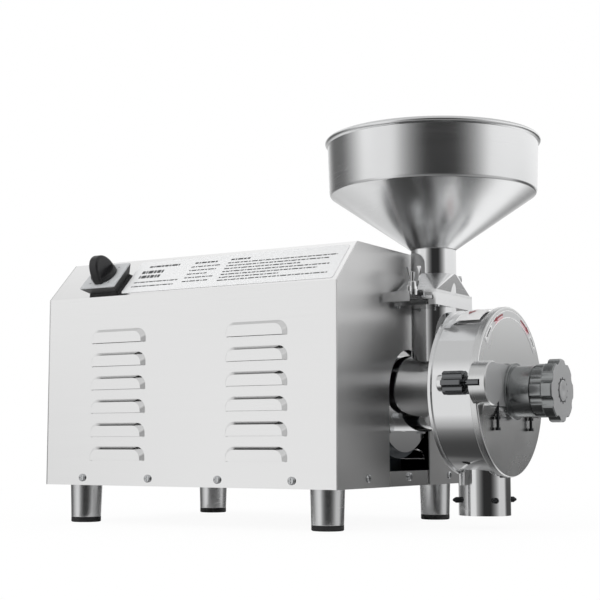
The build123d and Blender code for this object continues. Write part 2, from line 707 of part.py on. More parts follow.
def motor_front_shield():
    """The end shield that the feed housing is bolted to."""
    body = shield(FRONT_SHIELD_X, FEED_FLANGE_X, FRONT_BEARING_R, FRONT_SHIELD_X - OVER)
    for y, z in around(FEED_BOLT_COUNT, FEED_BOLT_PCR, FEED_BOLT_TURN):
        body -= rod_x(FEED_BOLT_R + SEAT_FIT, FRONT_SHIELD_X - OVER, FEED_FLANGE_X + OVER, y, z)
    return body


def bearing(radius, x0):
    """A ball bearing as a plain ring with a shallow groove between its races."""
    ring = tube_x(radius, SHAFT_R + RUN_FIT, x0, x0 + BEARING_W)
    middle = (radius + SHAFT_R) / 2
    groove = tube_x(middle + OVER * 2, middle - OVER * 2, x0 - OVER, x0 + OVER)
    return ring - groove - Pos(BEARING_W, 0, 0) * groove


def motor_bearings():
    """The bearings in the two shields."""
    return group([bearing(REAR_BEARING_R, HOUSING_X + OVER - BEARING_W),
                  bearing(FRONT_BEARING_R, FRONT_SHIELD_X - OVER)])


def stator_core():
    """The stator's laminations."""
    return tube_x(HOUSING_R - HOUSING_WALL - SEAT_FIT, STATOR_BORE_R, *STATOR_X)


def stator_windings():
    """The end windings on both sides of the laminations."""
    pieces = []
    for x0 in (STATOR_X[0] - WINDING_L, STATOR_X[1]):
        ring = tube_x(WINDING_R[1], WINDING_R[0], x0, x0 + WINDING_L)
        pieces.append(fillet(ring.edges().filter_by(GeomType.CIRCLE), WINDING_L * WINDING_ROUND))
    return group(pieces)


def fan_cowl():
    """The sheet cup over the fan, with radial slots for the air."""
    cowl = rod_x(HOUSING_R, COWL_X, REAR_SHIELD_X)
    cowl -= rod_x(HOUSING_R - COWL_WALL, COWL_X + COWL_WALL, REAR_SHIELD_X + OVER)
    slot = Box(4 * COWL_WALL, HOUSING_R * COWL_SLOT_L, HOUSING_R * COWL_SLOT_W)
    slot = Pos(COWL_X, HOUSING_R * COWL_SLOT_R, 0) * slot
    for index in range(COWL_SLOTS):
        cowl -= Pos(0, 0, SHAFT_Z) * Rot(360.0 * index / COWL_SLOTS, 0, 0) * slot
    return cowl


# ------------------------------------------------------------------ electrics
def capacitor(index):
    """A capacitor can lying on the tray beside the motor."""
    radius, length = CAP_R[index], CAP_L[index]
    z = TRAY_TOP + CLAMP_T + radius
    can = rod_x(radius, CAP_X, CAP_X + length, CAP_Y[index], z)
    can = fillet(can.edges().filter_by(GeomType.CIRCLE), radius * CAN_EDGE)
    for offset in (-radius * CAN_PITCH, radius * CAN_PITCH):
        pin_x = CAP_X - radius * CAN_PIN_L
        can += rod_x(radius * CAN_EDGE, pin_x, CAP_X + OVER, CAP_Y[index] + offset, z)
    return can


def capacitors():
    """The starting and the running capacitor."""
    return group([capacitor(0), capacitor(1)])


def capacitor_clamps():
    """Sheet bands that hold the capacitors to the tray."""
    clamps = []
    for radius, length, y in zip(CAP_R, CAP_L, CAP_Y):
        z = TRAY_TOP + CLAMP_T + radius
        x0 = CAP_X + length / 2 - CLAMP_W / 2
        span = (x0, x0 + CLAMP_W)
        foot = radius * CLAMP_FOOT
        band = rod_x(radius + SEAT_FIT + CLAMP_T, *span, y, z)
        band += box(span, (y - foot, y + foot), (TRAY_TOP, TRAY_TOP + CLAMP_T))
        band &= box(span, (y - radius * 2, y + radius * 2), (TRAY_TOP, z + radius * 2))
        clamps.append(band - rod_x(radius + SEAT_FIT, span[0] - OVER, span[1] + OVER, y, z))
    return group(clamps)


def cable_gland():
    """The cable inlet: a bored barrel with a hexagon outside and a locknut inside."""
    z = CASE_Z + GLAND_H
    flat = GLAND_OUT * GLAND_FLAT
    barrel = rod_x(GLAND_R, -GLAND_OUT * GLAND_BARREL, SHEET + GLAND_IN, GLAND_Y, z)
    outward = Plane(origin=(0, GLAND_Y, z), x_dir=(0, 1, 0), z_dir=(-1, 0, 0)).location
    gland = barrel + outward * hex_prism(GLAND_HEX, flat)
    cap = Pos(0, 0, (GLAND_OUT + flat) / 2) * Cylinder(GLAND_HEX * GLAND_CAP, GLAND_OUT - flat)
    cap = fillet(cap.edges().group_by(Axis.Z)[-1], GLAND_HEX * GLAND_ROUND)
    gland += outward * cap
    inward = Plane(origin=(SHEET, GLAND_Y, z), x_dir=(0, 1, 0), z_dir=(1, 0, 0)).location
    gland += inward * hex_prism(GLAND_HEX, GLAND_IN * GLAND_LOCKNUT)
    return gland - rod_x(GLAND_BORE_R, -GLAND_OUT - OVER, SHEET + GLAND_IN + OVER, GLAND_Y, z)


def switch_at(shape, height=0.0):
    """Place a shape on the shoulder at the switch's axis, raised by height."""
    return SHOULDER.location * Pos(SWITCH_X, SWITCH_S, height) * shape


def switch_base():
    """The black block under the switch's face plate, smaller where it meets the shoulder."""
    low = Rectangle(SWITCH_L - 2 * SWITCH_FLARE, SWITCH_W - 2 * SWITCH_FLARE)
    high = Pos(0, 0, SWITCH_T) * Rectangle(SWITCH_L, SWITCH_W)
    body = loft([low, high])
    return switch_at(body - Cylinder(SWITCH_SPINDLE_R + RUN_FIT, 4 * SWITCH_T))


def switch_plate():
    """The switch's face plate."""
    plate = Pos(0, 0, SWITCH_PLATE_T / 2) * Box(SWITCH_L, SWITCH_W, SWITCH_PLATE_T)
    plate = chamfer(plate.edges().group_by(Axis.Z)[-1], SWITCH_PLATE_T * PLATE_EDGE)
    return switch_at(plate - Cylinder(SWITCH_SPINDLE_R + RUN_FIT, 4 * SWITCH_T), SWITCH_T)


def switch_knob():
    """The turning grip, a disc with a round-topped fin, and its spindle."""
    face = SWITCH_T + SWITCH_PLATE_T + HINGE_GAP
    disc = Pos(0, 0, SWITCH_KNOB_H / 2) * Cylinder(SWITCH_KNOB_R, SWITCH_KNOB_H)
    disc = fillet(disc.edges().group_by(Axis.Z)[-1], SWITCH_KNOB_H * DIAL_ROUND)
    profile = Ellipse(SWITCH_KNOB_R + OVER, SWITCH_GRIP_H) & Pos(0, SWITCH_GRIP_H) * Rectangle(
        4 * SWITCH_KNOB_R, 2 * SWITCH_GRIP_H)
    grip = extrude(Plane.YZ * profile, SWITCH_GRIP_W / 2, both=True)
    grip = fillet(grip.edges().filter_by(GeomType.ELLIPSE), SWITCH_GRIP_W * GRIP_ROUND)
    depth = face + SHEET + CAM_DEPTH * DIAL_SPINDLE
    spindle = Pos(0, 0, -depth / 2) * Cylinder(SWITCH_SPINDLE_R, depth)
    return switch_at(disc + grip + spindle, face)


def cam_switch():
    """The switch's contact block under the shoulder."""
    block = Pos(0, 0, -SHEET - CAM_DEPTH / 2) * Box(CAM_SIZE, CAM_SIZE, CAM_DEPTH)
    block -= Pos(0, 0, -SHEET) * Cylinder(SWITCH_SPINDLE_R + RUN_FIT, CAM_DEPTH)
    return switch_at(block)


# ------------------------------------------------------------------ feed housing and gate
def feed_housing():
    """The flange on the motor and the barrel that the auger turns in."""
    body = rod_x(FEED_FLANGE_R, FEED_FLANGE_X, FEED_X) + rod_x(FEED_R, FEED_X - OVER, DRUM_X[0])
    body -= rod_x(FEED_R - FEED_WALL, FEED_X, DRUM_X[0] + OVER)
    body -= rod_x(SEAL_R + SEAT_FIT, FEED_FLANGE_X - OVER, FEED_X + OVER)
    body -= rod_z(INLET_R - INLET_WALL, SHAFT_Z, SHAFT_Z + 2 * FEED_R, INLET_X, 0)
    for y, z in around(FEED_BOLT_COUNT, FEED_BOLT_PCR, FEED_BOLT_TURN):
        body -= rod_x(FEED_BOLT_R + HOLE_FIT, FEED_FLANGE_X - OVER, FEED_X + OVER, y, z)
    return body


def feed_bolts():
    """Bolts that hold the feed housing to the motor."""
    length = FEED_FLANGE_T + FEED_BOLT_R * 4
    bolt = hex_bolt(FEED_BOLT_R, FEED_BOLT_R * BOLT_ACROSS, FEED_BOLT_R * BOLT_HEAD, length)
    places = around(FEED_BOLT_COUNT, FEED_BOLT_PCR, FEED_BOLT_TURN)
    return group([face_x(FEED_X, y, z).location * bolt for y, z in places])


def shaft_seal():
    """The lip seal that keeps flour out of the motor."""
    return tube_x(SEAL_R, SHAFT_R + RUN_FIT, FEED_FLANGE_X, FEED_X)


def flange_plate(z0, z1, hole_r):
    """A rectangular gate flange with a round port."""
    spans = (INLET_X - FLANGE_L / 2, INLET_X + FLANGE_L / 2), (-FLANGE_W / 2, FLANGE_W / 2)
    plate = box(*spans, (z0, z1))
    return plate - rod_z(hole_r, z0 - OVER, z1 + OVER, INLET_X, 0)


def flange_screw_places():
    """Screws through the rails at the flange's corners."""
    dx = FLANGE_L / 2 - RAIL_W / 2
    dy = FLANGE_W / 2 - FLANGE_SCREW_INSET
    return [(INLET_X + sx * dx, sy * dy) for sx in (-1, 1) for sy in (-1, 1)]


def flange_screw_holes(radius):
    return [rod_z(radius, LOW_FLANGE_Z - OVER, PLATE_Z + OVER, x, y) for x, y in flange_screw_places()]


def inlet_tube():
    """The tube from the feed housing up to the gate, with its flange."""
    tube = tube_z(INLET_R, INLET_R - INLET_WALL, SHAFT_Z, LOW_FLANGE_Z, INLET_X, 0)
    tube -= rod_x(FEED_R, FEED_X, DRUM_X[0])
    tube += flange_plate(LOW_FLANGE_Z, GATE_Z, PORT_R)
    return tube - flange_screw_holes(FLANGE_SCREW_R + SEAT_FIT)


def lug_outline(z0, z1):
    """The ears that stick out of a flange for the hopper's studs."""
    ears = box((INLET_X - LUG_R, INLET_X + LUG_R), (-LUG_Y, LUG_Y), (z0, z1))
    for side in (-1, 1):
        ears += rod_z(LUG_R, z0, z1, INLET_X, side * LUG_Y)
    return ears


def stud_holes(radius):
    return [rod_z(radius, GATE_Z, STUD_TOP + OVER, INLET_X, side * LUG_Y) for side in (-1, 1)]


def upper_flange():
    """The plate over the gate, with the gate's two guide rails below and the hopper's studs above."""
    plate = flange_plate(UP_FLANGE_Z, PLATE_Z, PORT_R) + lug_outline(UP_FLANGE_Z, PLATE_Z)
    for side in (-1, 1):
        spans = sorted((INLET_X + side * (FLANGE_L / 2 - RAIL_W), INLET_X + side * FLANGE_L / 2))
        plate += box(spans, (-FLANGE_W / 2, FLANGE_W / 2), (GATE_Z, UP_FLANGE_Z))
        stud = rod_z(STUD_R, UP_FLANGE_Z, STUD_TOP, INLET_X, side * LUG_Y)
        plate += chamfer(stud.edges().group_by(Axis.Z)[-1], STUD_R * STUD_EDGE)
    plate -= rod_z(PORT_R, GATE_Z - OVER, PLATE_Z + OVER, INLET_X, 0)
    return plate - flange_screw_holes(FLANGE_SCREW_R + SEAT_FIT)


def flange_screws():
    """Screws from below that hold the gate's sandwich together."""
    head_h = FLANGE_SCREW_R * SCREW_HEAD_T
    screws = []
    for x, y in flange_screw_places():
        screw = rod_z(FLANGE_SCREW_R, LOW_FLANGE_Z - head_h, PLATE_Z - HINGE_GAP, x, y)
        screws.append(screw + rod_z(FLANGE_SCREW_R * SCREW_HEAD, LOW_FLANGE_Z - head_h, LOW_FLANGE_Z, x, y))
    return group(screws)


def gate_plate():
    """The sliding gate, shut, with its pull lip outside the flanges."""
    half = FLANGE_L / 2 - RAIL_W - GATE_FIT
    z = (GATE_Z + GATE_FIT, UP_FLANGE_Z - GATE_FIT)
    neck_y = -FLANGE_W / 2 - OVER
    plate = box((INLET_X - half, INLET_X + half), (neck_y, PORT_R + GATE_LAP), z)
    lip_back = GATE_LIP_Y + GATE_LIP_T
    plate += box(GATE_TONGUE_X, (GATE_LIP_Y, neck_y), z)
    plate += box(GATE_TONGUE_X, (GATE_LIP_Y, lip_back), GATE_LIP_Z)
    pin = rod_z(GATE_PIN_R, z[1] - OVER, GATE_PIN_TOP, GATE_TONGUE_X[1] - GATE_PIN_R - OVER, GATE_PIN_Y)
    return plate + fillet(pin.edges().group_by(Axis.Z)[-1], GATE_PIN_R * PIN_ROUND)


# ------------------------------------------------------------------ hopper
def wing_nut(side):
    """A wing nut on one of the hopper's studs."""
    z0 = PLATE_Z + FOOT_PLATE_T
    hub = Pos(0, 0, WING_HUB_H / 2) * Cone(WING_HUB_R, WING_HUB_R * WING_TAPER, WING_HUB_H)
    inner = WING_HUB_R * WING_ROOT
    low, high = WING_HUB_H * WING_LOW, WING_HUB_H + WING_H * WING_HIGH
    for turn in (0, 180):
        points = [(inner, low), (WING_HUB_R, low), (WING_SPAN / 2, high - WING_H * WING_SLOPE),
                  (WING_SPAN / 2, high), (WING_SPAN * WING_TIP, high), (inner, WING_HUB_H)]
        wing = extrude(Plane.XZ * make_face(Polyline(points, close=True)), WING_T / 2, both=True)
        hub += Rot(0, 0, turn) * wing
    hub -= Cylinder(STUD_R + RUN_FIT, 8 * WING_HUB_H)
    return Pos(INLET_X, side * LUG_Y, z0) * hub


def wing_nut_near():
    return wing_nut(-1)


def wing_nut_far():
    return wing_nut(1)


def hopper_foot():
    """The square-to-round foot with the plate that stands on the upper flange."""
    z0 = PLATE_Z + FOOT_PLATE_T
    span = (INLET_X - FLANGE_L / 2, INLET_X + FLANGE_L / 2)
    plate = box(span, (-FLANGE_W / 2, FLANGE_W / 2), (PLATE_Z, z0))
    plate += lug_outline(PLATE_Z, z0)
    base = Pos(INLET_X, 0, z0) * Rectangle(FLANGE_L - 2 * OVER, 2 * (LUG_Y - WING_HUB_R - 2 * OVER))
    crown = Pos(INLET_X, 0, PYRAMID_TOP) * Rectangle(2 * NECK_R + 2 * OVER, 2 * NECK_R + 2 * OVER)
    crown = fillet(crown.vertices(), NECK_R - NECK_SLACK)
    base = fillet(base.vertices(), OVER * 2)
    body = plate + loft([base, crown])
    body -= rod_z(NECK_R + SEAT_FIT, PLATE_Z - OVER, PYRAMID_TOP + OVER, INLET_X, 0)
    return body - stud_holes(STUD_R + HOLE_FIT)


def hopper_neck():
    """The tube below the cone."""
    return tube_z(NECK_R, NECK_R - NECK_WALL, PLATE_Z, CONE_Z, INLET_X, 0)


def revolve_z(points, x):
    """Turn an (r, z) outline round an upright axis at x."""
    face = make_face(Polyline([(r, 0, z) for r, z in points], close=True))
    return Pos(x, 0, 0) * revolve(face, Axis.Z)


def hopper_bowl():
    """The cone and the wall above it, spun from sheet."""
    t = HOPPER_SHEET
    slant = hypot(SEAM_R - CONE_R, SEAM_Z - CONE_Z)
    drop = t * slant / (SEAM_R - CONE_R)
    outer = [(CONE_R, CONE_Z), (SEAM_R, SEAM_Z), (SEAM_R, SEAM_Z + SEAM_BAND),
             (SEAM_R + SEAM_BAND / 2, SEAM_Z + 2 * SEAM_BAND), (RIM_R, RIM_Z)]
    inner = [(RIM_R - t, RIM_Z), (SEAM_R - t, SEAM_Z + drop), (CONE_R - NECK_WALL, CONE_Z + drop),
             (CONE_R - NECK_WALL, CONE_Z)]
    return revolve_z(outer + inner, INLET_X)


def hopper_rim():
    """The rolled bead round the mouth."""
    bead = Pos(INLET_X, 0, RIM_Z) * Torus(RIM_R - HOPPER_SHEET / 2, BEAD_R)
    wall = tube_z(RIM_R, RIM_R - HOPPER_SHEET, RIM_Z - 2 * BEAD_R, RIM_Z, INLET_X, 0)
    return bead - wall - hopper_bowl()


# ------------------------------------------------------------------ grinding chamber
def hinge_ears():
    """Two ears on the drum that hold the hinge pin."""
    ears = []
    half = HINGE_KNUCKLE_H / 2 + HINGE_GAP
    for low in (ARM_Z - half - HINGE_EAR_T, ARM_Z + half):
        ear = rod_z(HINGE_R, low, low + HINGE_EAR_T, HINGE_X, HINGE_Y)
        root = (HINGE_X - 2 * HINGE_R, DRUM_X[1])
        ear += box(root, (DRUM_R * EAR_ROOT, HINGE_Y), (low, low + HINGE_EAR_T))
        ear -= rod_z(HINGE_PIN_R + SEAT_FIT, low - OVER, low + HINGE_EAR_T + OVER, HINGE_X, HINGE_Y)
        ears.append(ear)
    return ears


def lock_lug():
    """The lug on the drum that the star screw's tip points into."""
    lug = rod_x(LUG_HALF_H, *LUG_X, LOCK_Y, ARM_Z)
    lug += box(LUG_X, (LOCK_Y, -DRUM_R * EAR_ROOT), (ARM_Z - LUG_HALF_H, ARM_Z + LUG_HALF_H))
    return lug - rod_x(LUG_HOLE_R, LUG_X[0] - OVER, LUG_X[1] + OVER, LOCK_Y, ARM_Z)


def chamber_lugs():
    """The hinge ears and the lock lug, which are welded to the drum."""
    drum = rod_x(DRUM_R, *DRUM_X)
    return group([lug - drum for lug in hinge_ears() + [lock_lug()]])


def grinding_chamber():
    """The chamber's shell."""
    drum = rod_x(DRUM_R, *DRUM_X) + rod_x(DRUM_LIP_R, DRUM_X[0], DRUM_X[0] + DRUM_BACK_T)
    drum -= rod_x(DRUM_R - DRUM_WALL, DRUM_X[0] + DRUM_BACK_T, DRUM_X[1] + OVER)
    drum -= rod_x(FEED_R - FEED_WALL, DRUM_X[0] - OVER, DRUM_X[1])
    return drum - outlet_throat(DRUM_X[1] + OVER)


def hinge_pin():
    """The pin that the cover swings on."""
    half = HINGE_KNUCKLE_H / 2 + HINGE_GAP + HINGE_EAR_T
    pin = rod_z(HINGE_PIN_R, ARM_Z - half - PIN_HEAD_T, ARM_Z + half + PIN_HEAD_T, HINGE_X, HINGE_Y)
    pin = chamfer(pin.edges().group_by(Axis.Z)[0], HINGE_PIN_R * PIN_EDGE)
    return pin + rod_z(PIN_HEAD_R, ARM_Z + half, ARM_Z + half + PIN_HEAD_T, HINGE_X, HINGE_Y)


def outlet_throat(front_x):
    """The passage from the chamber's floor into the spout, between the back plate and front_x."""
    low, high = OUTLET_ROOF_Z - OVER, SHAFT_Z - DRUM_R / 2
    throat = rod_z(OUTLET_R - OUTLET_WALL - THROAT_STEP, low, high, OUTLET_X, 0)
    return throat & box((DRUM_X[0] + DRUM_BACK_T, front_x), (-OUTLET_R, OUTLET_R), (low, high))


def outlet_spout():
    """The tube that the flour falls through; its top fits round the chamber."""
    top = SHAFT_Z - DRUM_R / 2
    spout = rod_z(OUTLET_R, OUTLET_Z, top, OUTLET_X, 0)
    spout -= rod_z(OUTLET_R - OUTLET_WALL, OUTLET_Z - OVER, OUTLET_ROOF_Z, OUTLET_X, 0)
    spout -= outlet_throat(DRUM_X[1] - OUTLET_WALL)
    spout -= rod_x(DRUM_R, DRUM_X[0], DRUM_X[1])
    spout -= rod_x(DRUM_LIP_R, OUTLET_X - OUTLET_R - OVER, DRUM_X[0] + DRUM_BACK_T)
    front = (DRUM_X[1], OUTLET_X + OUTLET_R + OVER)
    return spout - box(front, (-OUTLET_R, OUTLET_R), (SHAFT_Z - COVER_R - HINGE_GAP, top + OVER))


def outlet_pins():
    """Studs round the spout that a flour bag hooks on to."""
    pins = []
    for index in range(OUTLET_PINS):
        shank_l = OUTLET_PIN_L * PIN_SHANK
        pin = Pos(0, 0, OUTLET_R + shank_l / 2 - OVER / 2) * Cylinder(OUTLET_PIN_R, shank_l + OVER)
        tip_l = OUTLET_PIN_L - shank_l
        pin += Pos(0, 0, OUTLET_R + shank_l + tip_l / 2) * Cone(OUTLET_PIN_R, OUTLET_PIN_R * PIN_POINT, tip_l)
        turn = OUTLET_PIN_TURN + 360.0 * index / OUTLET_PINS
        pin = Pos(OUTLET_X, 0, OUTLET_PIN_Z) * Rot(0, 0, turn) * Rot(0, 90, 0) * pin
        pins.append(pin - rod_z(OUTLET_R, OUTLET_Z, OUTLET_PIN_Z * 2, OUTLET_X, 0))
    return group(pins)


def ring_sector(radii, x0, thickness, angles):
    """A flat sector of a ring that faces along x."""
    start, end = angles
    inner, outer = radii
    corner = [(radius * cos(radians(turn)), radius * sin(radians(turn))) for radius, turn in
              ((inner, start), (outer, start), (inner, end), (outer, end))]
    edges = [CenterArc((0, 0), inner, start, end - start), CenterArc((0, 0), outer, start, end - start),
             Line(corner[0], corner[1]), Line(corner[2], corner[3])]
    return face_x(x0).location * extrude(make_face(edges), thickness)


# ------------------------------------------------------------------ cover and clamp arm
def cover_disc():
    """The chamber's cover, with the two pins that keep the stationary disc from turning."""
    disc = rod_x(COVER_R, *COVER_X)
    disc = chamfer(disc.edges().filter_by(GeomType.CIRCLE).group_by(Axis.X)[-1], COVER_EDGE)
    disc -= rod_x(SPINDLE_R + RUN_FIT, COVER_X[0] - OVER, COVER_X[1] + OVER)
    for y, z in around(GUIDE_COUNT, GUIDE_PCR, GUIDE_TURN):
        disc += rod_x(GUIDE_R, FIXED_CARRIER_X + OVER, COVER_X[0] + OVER, y, z)
    return disc


def cover_gasket():
    """The seal between the drum and the cover."""
    return tube_x(DRUM_R - DRUM_WALL + DRUM_WALL * GASKET_W, DRUM_R - DRUM_WALL, DRUM_X[1], COVER_X[0])


def clamp_arm():
    """The bar across the cover with a round boss at each end."""
    x = (COVER_X[1], ARM_X)
    arm = box(x, (-ARM_BOSS_Y, ARM_BOSS_Y), (ARM_BOTTOM, ARM_TOP))
    bevel_x, bevel_z = ARM_BEVEL
    wedge = [(ARM_X + OVER, ARM_BOTTOM - OVER), (ARM_X + OVER, ARM_BOTTOM + bevel_z),
             (ARM_X, ARM_BOTTOM + bevel_z), (ARM_X - bevel_x, ARM_BOTTOM),
             (ARM_X - bevel_x, ARM_BOTTOM - OVER)]
    cut = extrude(Plane.XZ * make_face(Polyline(wedge, close=True)), COVER_R * 2, both=True)
    arm -= cut
    for side in (-1, 1):
        boss = rod_x(ARM_BOSS_R, *ARM_BOSS_X, side * ARM_BOSS_Y, ARM_Z)
        arm += chamfer(boss.edges().filter_by(GeomType.CIRCLE).group_by(Axis.X)[-1], COVER_EDGE)
    half = HINGE_KNUCKLE_H / 2
    arm += rod_z(HINGE_R, ARM_Z - half, ARM_Z + half, HINGE_X, HINGE_Y)
    web = (HINGE_X + HINGE_PIN_R, ARM_BOSS_X[1] - HINGE_R)
    arm += box(web, (ARM_BOSS_Y, HINGE_Y), (ARM_Z - half, ARM_Z + half))
    arm -= rod_z(HINGE_PIN_R + RUN_FIT, ARM_Z - half - OVER, ARM_Z + half + OVER, HINGE_X, HINGE_Y)
    arm -= rod_x(COVER_R, COVER_X[0] - 2 * HINGE_R, COVER_X[1])
    arm -= rod_x(SPINDLE_COLLAR_R + RUN_FIT, COVER_X[1] - OVER, ARM_X + OVER)
    arm -= rod_x(LOCK_SHANK_R + RUN_FIT, LOCK_X[1], ARM_BOSS_X[0] + LOCK_THREAD_L + OVER, LOCK_Y, ARM_Z)
    for side in (-1, 1):
        hole = (ARM_BOTTOM - OVER, arm_bolt_top() + OVER)
        arm -= rod_z(ARM_BOLT_R + SEAT_FIT, *hole, arm_bolt_x(), side * ARM_BOLT_Y)
    return arm


def arm_bolt_x():
    """The small bolts stand just in front of the cover."""
    return COVER_X[1] + ARM_NUT_R + HINGE_GAP


def arm_bolt_top():
    """Where the small bolts end inside the arm."""
    return ARM_Z - ARM_BOSS_R * BOSS_REACH - OVER


def arm_bolts():
    """Small bolts with lock nuts that hang under the arm."""
    bolts = []
    for side in (-1, 1):
        place = Pos(arm_bolt_x(), side * ARM_BOLT_Y, ARM_BOTTOM)
        head_h = ARM_NUT_R
        top = arm_bolt_top() - ARM_BOTTOM
        bolt = Pos(0, 0, (top - ARM_BOLT_LEN) / 2) * Cylinder(ARM_BOLT_R, ARM_BOLT_LEN + top)
        bolt += Pos(0, 0, -ARM_BOLT_LEN) * hex_prism(ARM_NUT_R * SMALL_ACROSS, head_h)
        bolt += Pos(0, 0, -head_h - HINGE_GAP) * hex_prism(ARM_NUT_R * SMALL_ACROSS, head_h)
        bolts.append(place * bolt)
    return group(bolts)


def adjuster_hub():
    """The hub that carries the spindle."""
    hub = rod_x(HUB_R, ARM_X, HUB_X) + rod_x(HUB_RING_R, ARM_X, ARM_X + HUB_RING_T)
    hub -= rod_x(SPINDLE_COLLAR_R + RUN_FIT, ARM_X - OVER, COVER_X[1] + SPINDLE_COLLAR_T + 2 * HINGE_GAP)
    return hub - rod_x(SPINDLE_R + RUN_FIT, ARM_X - OVER, HUB_X + OVER)


def lock_screw():
    """The star-headed hand screw behind the arm's free end."""
    star = lobed(LOCK_R, LOCK_LOBES, *LOCK_X, LOCK_R * STAR_DEPTH, LOCK_Y, ARM_Z)
    star += rod_x(LOCK_SHANK_R, LOCK_X[1] - OVER, ARM_BOSS_X[0] + LOCK_THREAD_L, LOCK_Y, ARM_Z)
    return star + rod_x(LOCK_TIP_R, LUG_X[1] - LOCK_TIP_L, LOCK_X[0] + OVER, LOCK_Y, ARM_Z)


# ------------------------------------------------------------------ adjuster
def adjusting_knob():
    """The lobed knob that sets the gap between the discs."""
    skirt = lobed(KNOB_SKIRT_R, KNOB_LOBES, KNOB_BACK, KNOB_SKIRT_X + OVER, KNOB_SKIRT_R * SKIRT_DEPTH)
    head = lobed(KNOB_R, KNOB_LOBES, KNOB_SKIRT_X, KNOB_X, KNOB_R * KNOB_DEPTH)
    return skirt + head - rod_x(SPINDLE_R + SEAT_FIT, KNOB_BACK - OVER, KNOB_X + OVER)


def adjusting_spindle():
    """The spindle that the knob turns, with its collar inside the hub."""
    collar_x = COVER_X[1] + HINGE_GAP
    spindle = rod_x(SPINDLE_R, FIXED_CARRIER_X + SPINDLE_TIP_GAP, KNOB_X - OVER)
    return spindle + rod_x(SPINDLE_COLLAR_R, collar_x, collar_x + SPINDLE_COLLAR_T)


def knob_screw():
    """The socket screw in the knob's face."""
    head = rod_x(KNOB_CAP_R, KNOB_X, KNOB_X + KNOB_SCREW_H)
    head = fillet(head.edges().filter_by(GeomType.CIRCLE).group_by(Axis.X)[-1], KNOB_SCREW_H * SOCKET_DEPTH)
    socket = face_x(KNOB_X + KNOB_SCREW_H * SOCKET_DEPTH).location * hex_prism(KNOB_SOCKET, KNOB_SCREW_H)
    return head - socket


def disc_plate(x0, facing):
    """A grinding disc with radial grooves in the face that looks towards the other disc."""
    disc = rod_x(DISC_R, x0, x0 + DISC_T)
    groove_x = x0 + DISC_T if facing > 0 else x0
    groove = Pos(groove_x, (DISC_R + DISC_HOLE_R) / 2 + DISC_HOLE_R / 2, 0)
    groove *= Box(2 * DISC_GROOVE_T, DISC_R - DISC_HOLE_R, DISC_GROOVE_W)
    for index in range(DISC_GROOVES):
        disc -= Pos(0, 0, SHAFT_Z) * Rot(360.0 * index / DISC_GROOVES, 0, 0) * groove
    return disc


def stationary_disc():
    """The grinding disc on the cover's side, with blind holes that the guide pins may enter."""
    disc = disc_plate(FIXED_DISC_X, -1)
    disc -= rod_x(DISC_HOLE_R, FIXED_DISC_X - OVER, FIXED_CARRIER_X + OVER)
    for y, z in around(GUIDE_COUNT, GUIDE_PCR, GUIDE_TURN):
        disc -= rod_x(GUIDE_R + RUN_FIT, FIXED_CARRIER_X - GUIDE_DEPTH, FIXED_CARRIER_X + OVER, y, z)
    return disc


def stationary_carrier():
    """The plate and threaded boss that the spindle moves to and fro."""
    body = rod_x(CARRIER_R, FIXED_CARRIER_X, FIXED_CARRIER_X + CARRIER_T)
    body += rod_x(BOSS_R, FIXED_CARRIER_X + CARRIER_T - OVER, BOSS_END)
    body -= rod_x(SPINDLE_R + RUN_FIT, FIXED_CARRIER_X + OVER, BOSS_END + OVER)
    for y, z in around(GUIDE_COUNT, GUIDE_PCR, GUIDE_TURN):
        body -= rod_x(GUIDE_R + RUN_FIT, FIXED_CARRIER_X - OVER, BOSS_END, y, z)
    return body


# ------------------------------------------------------------------ rotor
def motor_shaft():
    """The motor's shaft, which runs on through the feed housing to the grinding disc."""
    shaft = rod_x(SHAFT_R, FAN_X[0], DISC_X) + rod_x(SHAFT_END_R, DISC_X - OVER, NUT_END)
    return shaft


def rotor_core():
    """The rotor inside the stator."""
    return tube_x(STATOR_BORE_R - AIR_GAP, SHAFT_R + SEAT_FIT, *STATOR_X)


def cooling_fan():
    """The fan behind the motor."""
    x0, x1 = FAN_X
    fan = rod_x(FAN_R, x1 - (x1 - x0) * FAN_PLATE, x1) + rod_x(SHAFT_R * FAN_HUB, x0, x1)
    blade = Box(x1 - x0, FAN_R * FAN_BLADE_L, (x1 - x0) * FAN_BLADE_T)
    blade = Pos((x0 + x1) / 2, FAN_R * FAN_BLADE_R, 0) * blade
    for index in range(FAN_BLADES):
        fan += Pos(0, 0, SHAFT_Z) * Rot(360.0 * index / FAN_BLADES, 0, 0) * blade
    return fan - rod_x(SHAFT_R + SEAT_FIT, x0 - OVER, x1 + OVER)


def feed_auger():
    """The screw that carries the grain from the inlet to the discs."""
    x0, x1 = FEED_X + 2 * AUGER_END, DRUM_X[0] - AUGER_END
    core = tube_x(AUGER_CORE_R, SHAFT_R + SEAT_FIT, x0 - AUGER_END, x1 + AUGER_END)
    path = Helix(AUGER_PITCH, x1 - x0, AUGER_CORE_R)
    blade_h = FEED_R - FEED_WALL - AUGER_RUN - AUGER_CORE_R
    start = path @ 0
    section = Plane(origin=start, x_dir=(1, 0, 0), z_dir=path % 0) * Pos(blade_h / 2 - OVER / 2, 0)
    flight = sweep(section * Rectangle(blade_h + OVER, AUGER_T), path, is_frenet=True)
    flight = Pos(x0, 0, SHAFT_Z) * Rot(0, 90, 0) * flight
    return core + (flight - rod_x(SHAFT_R + 2 * OVER, x0 - AUGER_PITCH, x1 + AUGER_PITCH))


def rotating_carrier():
    """The spider that carries the rotating disc and lets the grain through."""
    body = rod_x(CARRIER_R, ROTOR_X, DISC_X)
    body -= feed_windows(ROTOR_X - OVER, DISC_X + OVER)
    return body - rod_x(SHAFT_R + SEAT_FIT, ROTOR_X - OVER, DISC_X + OVER)


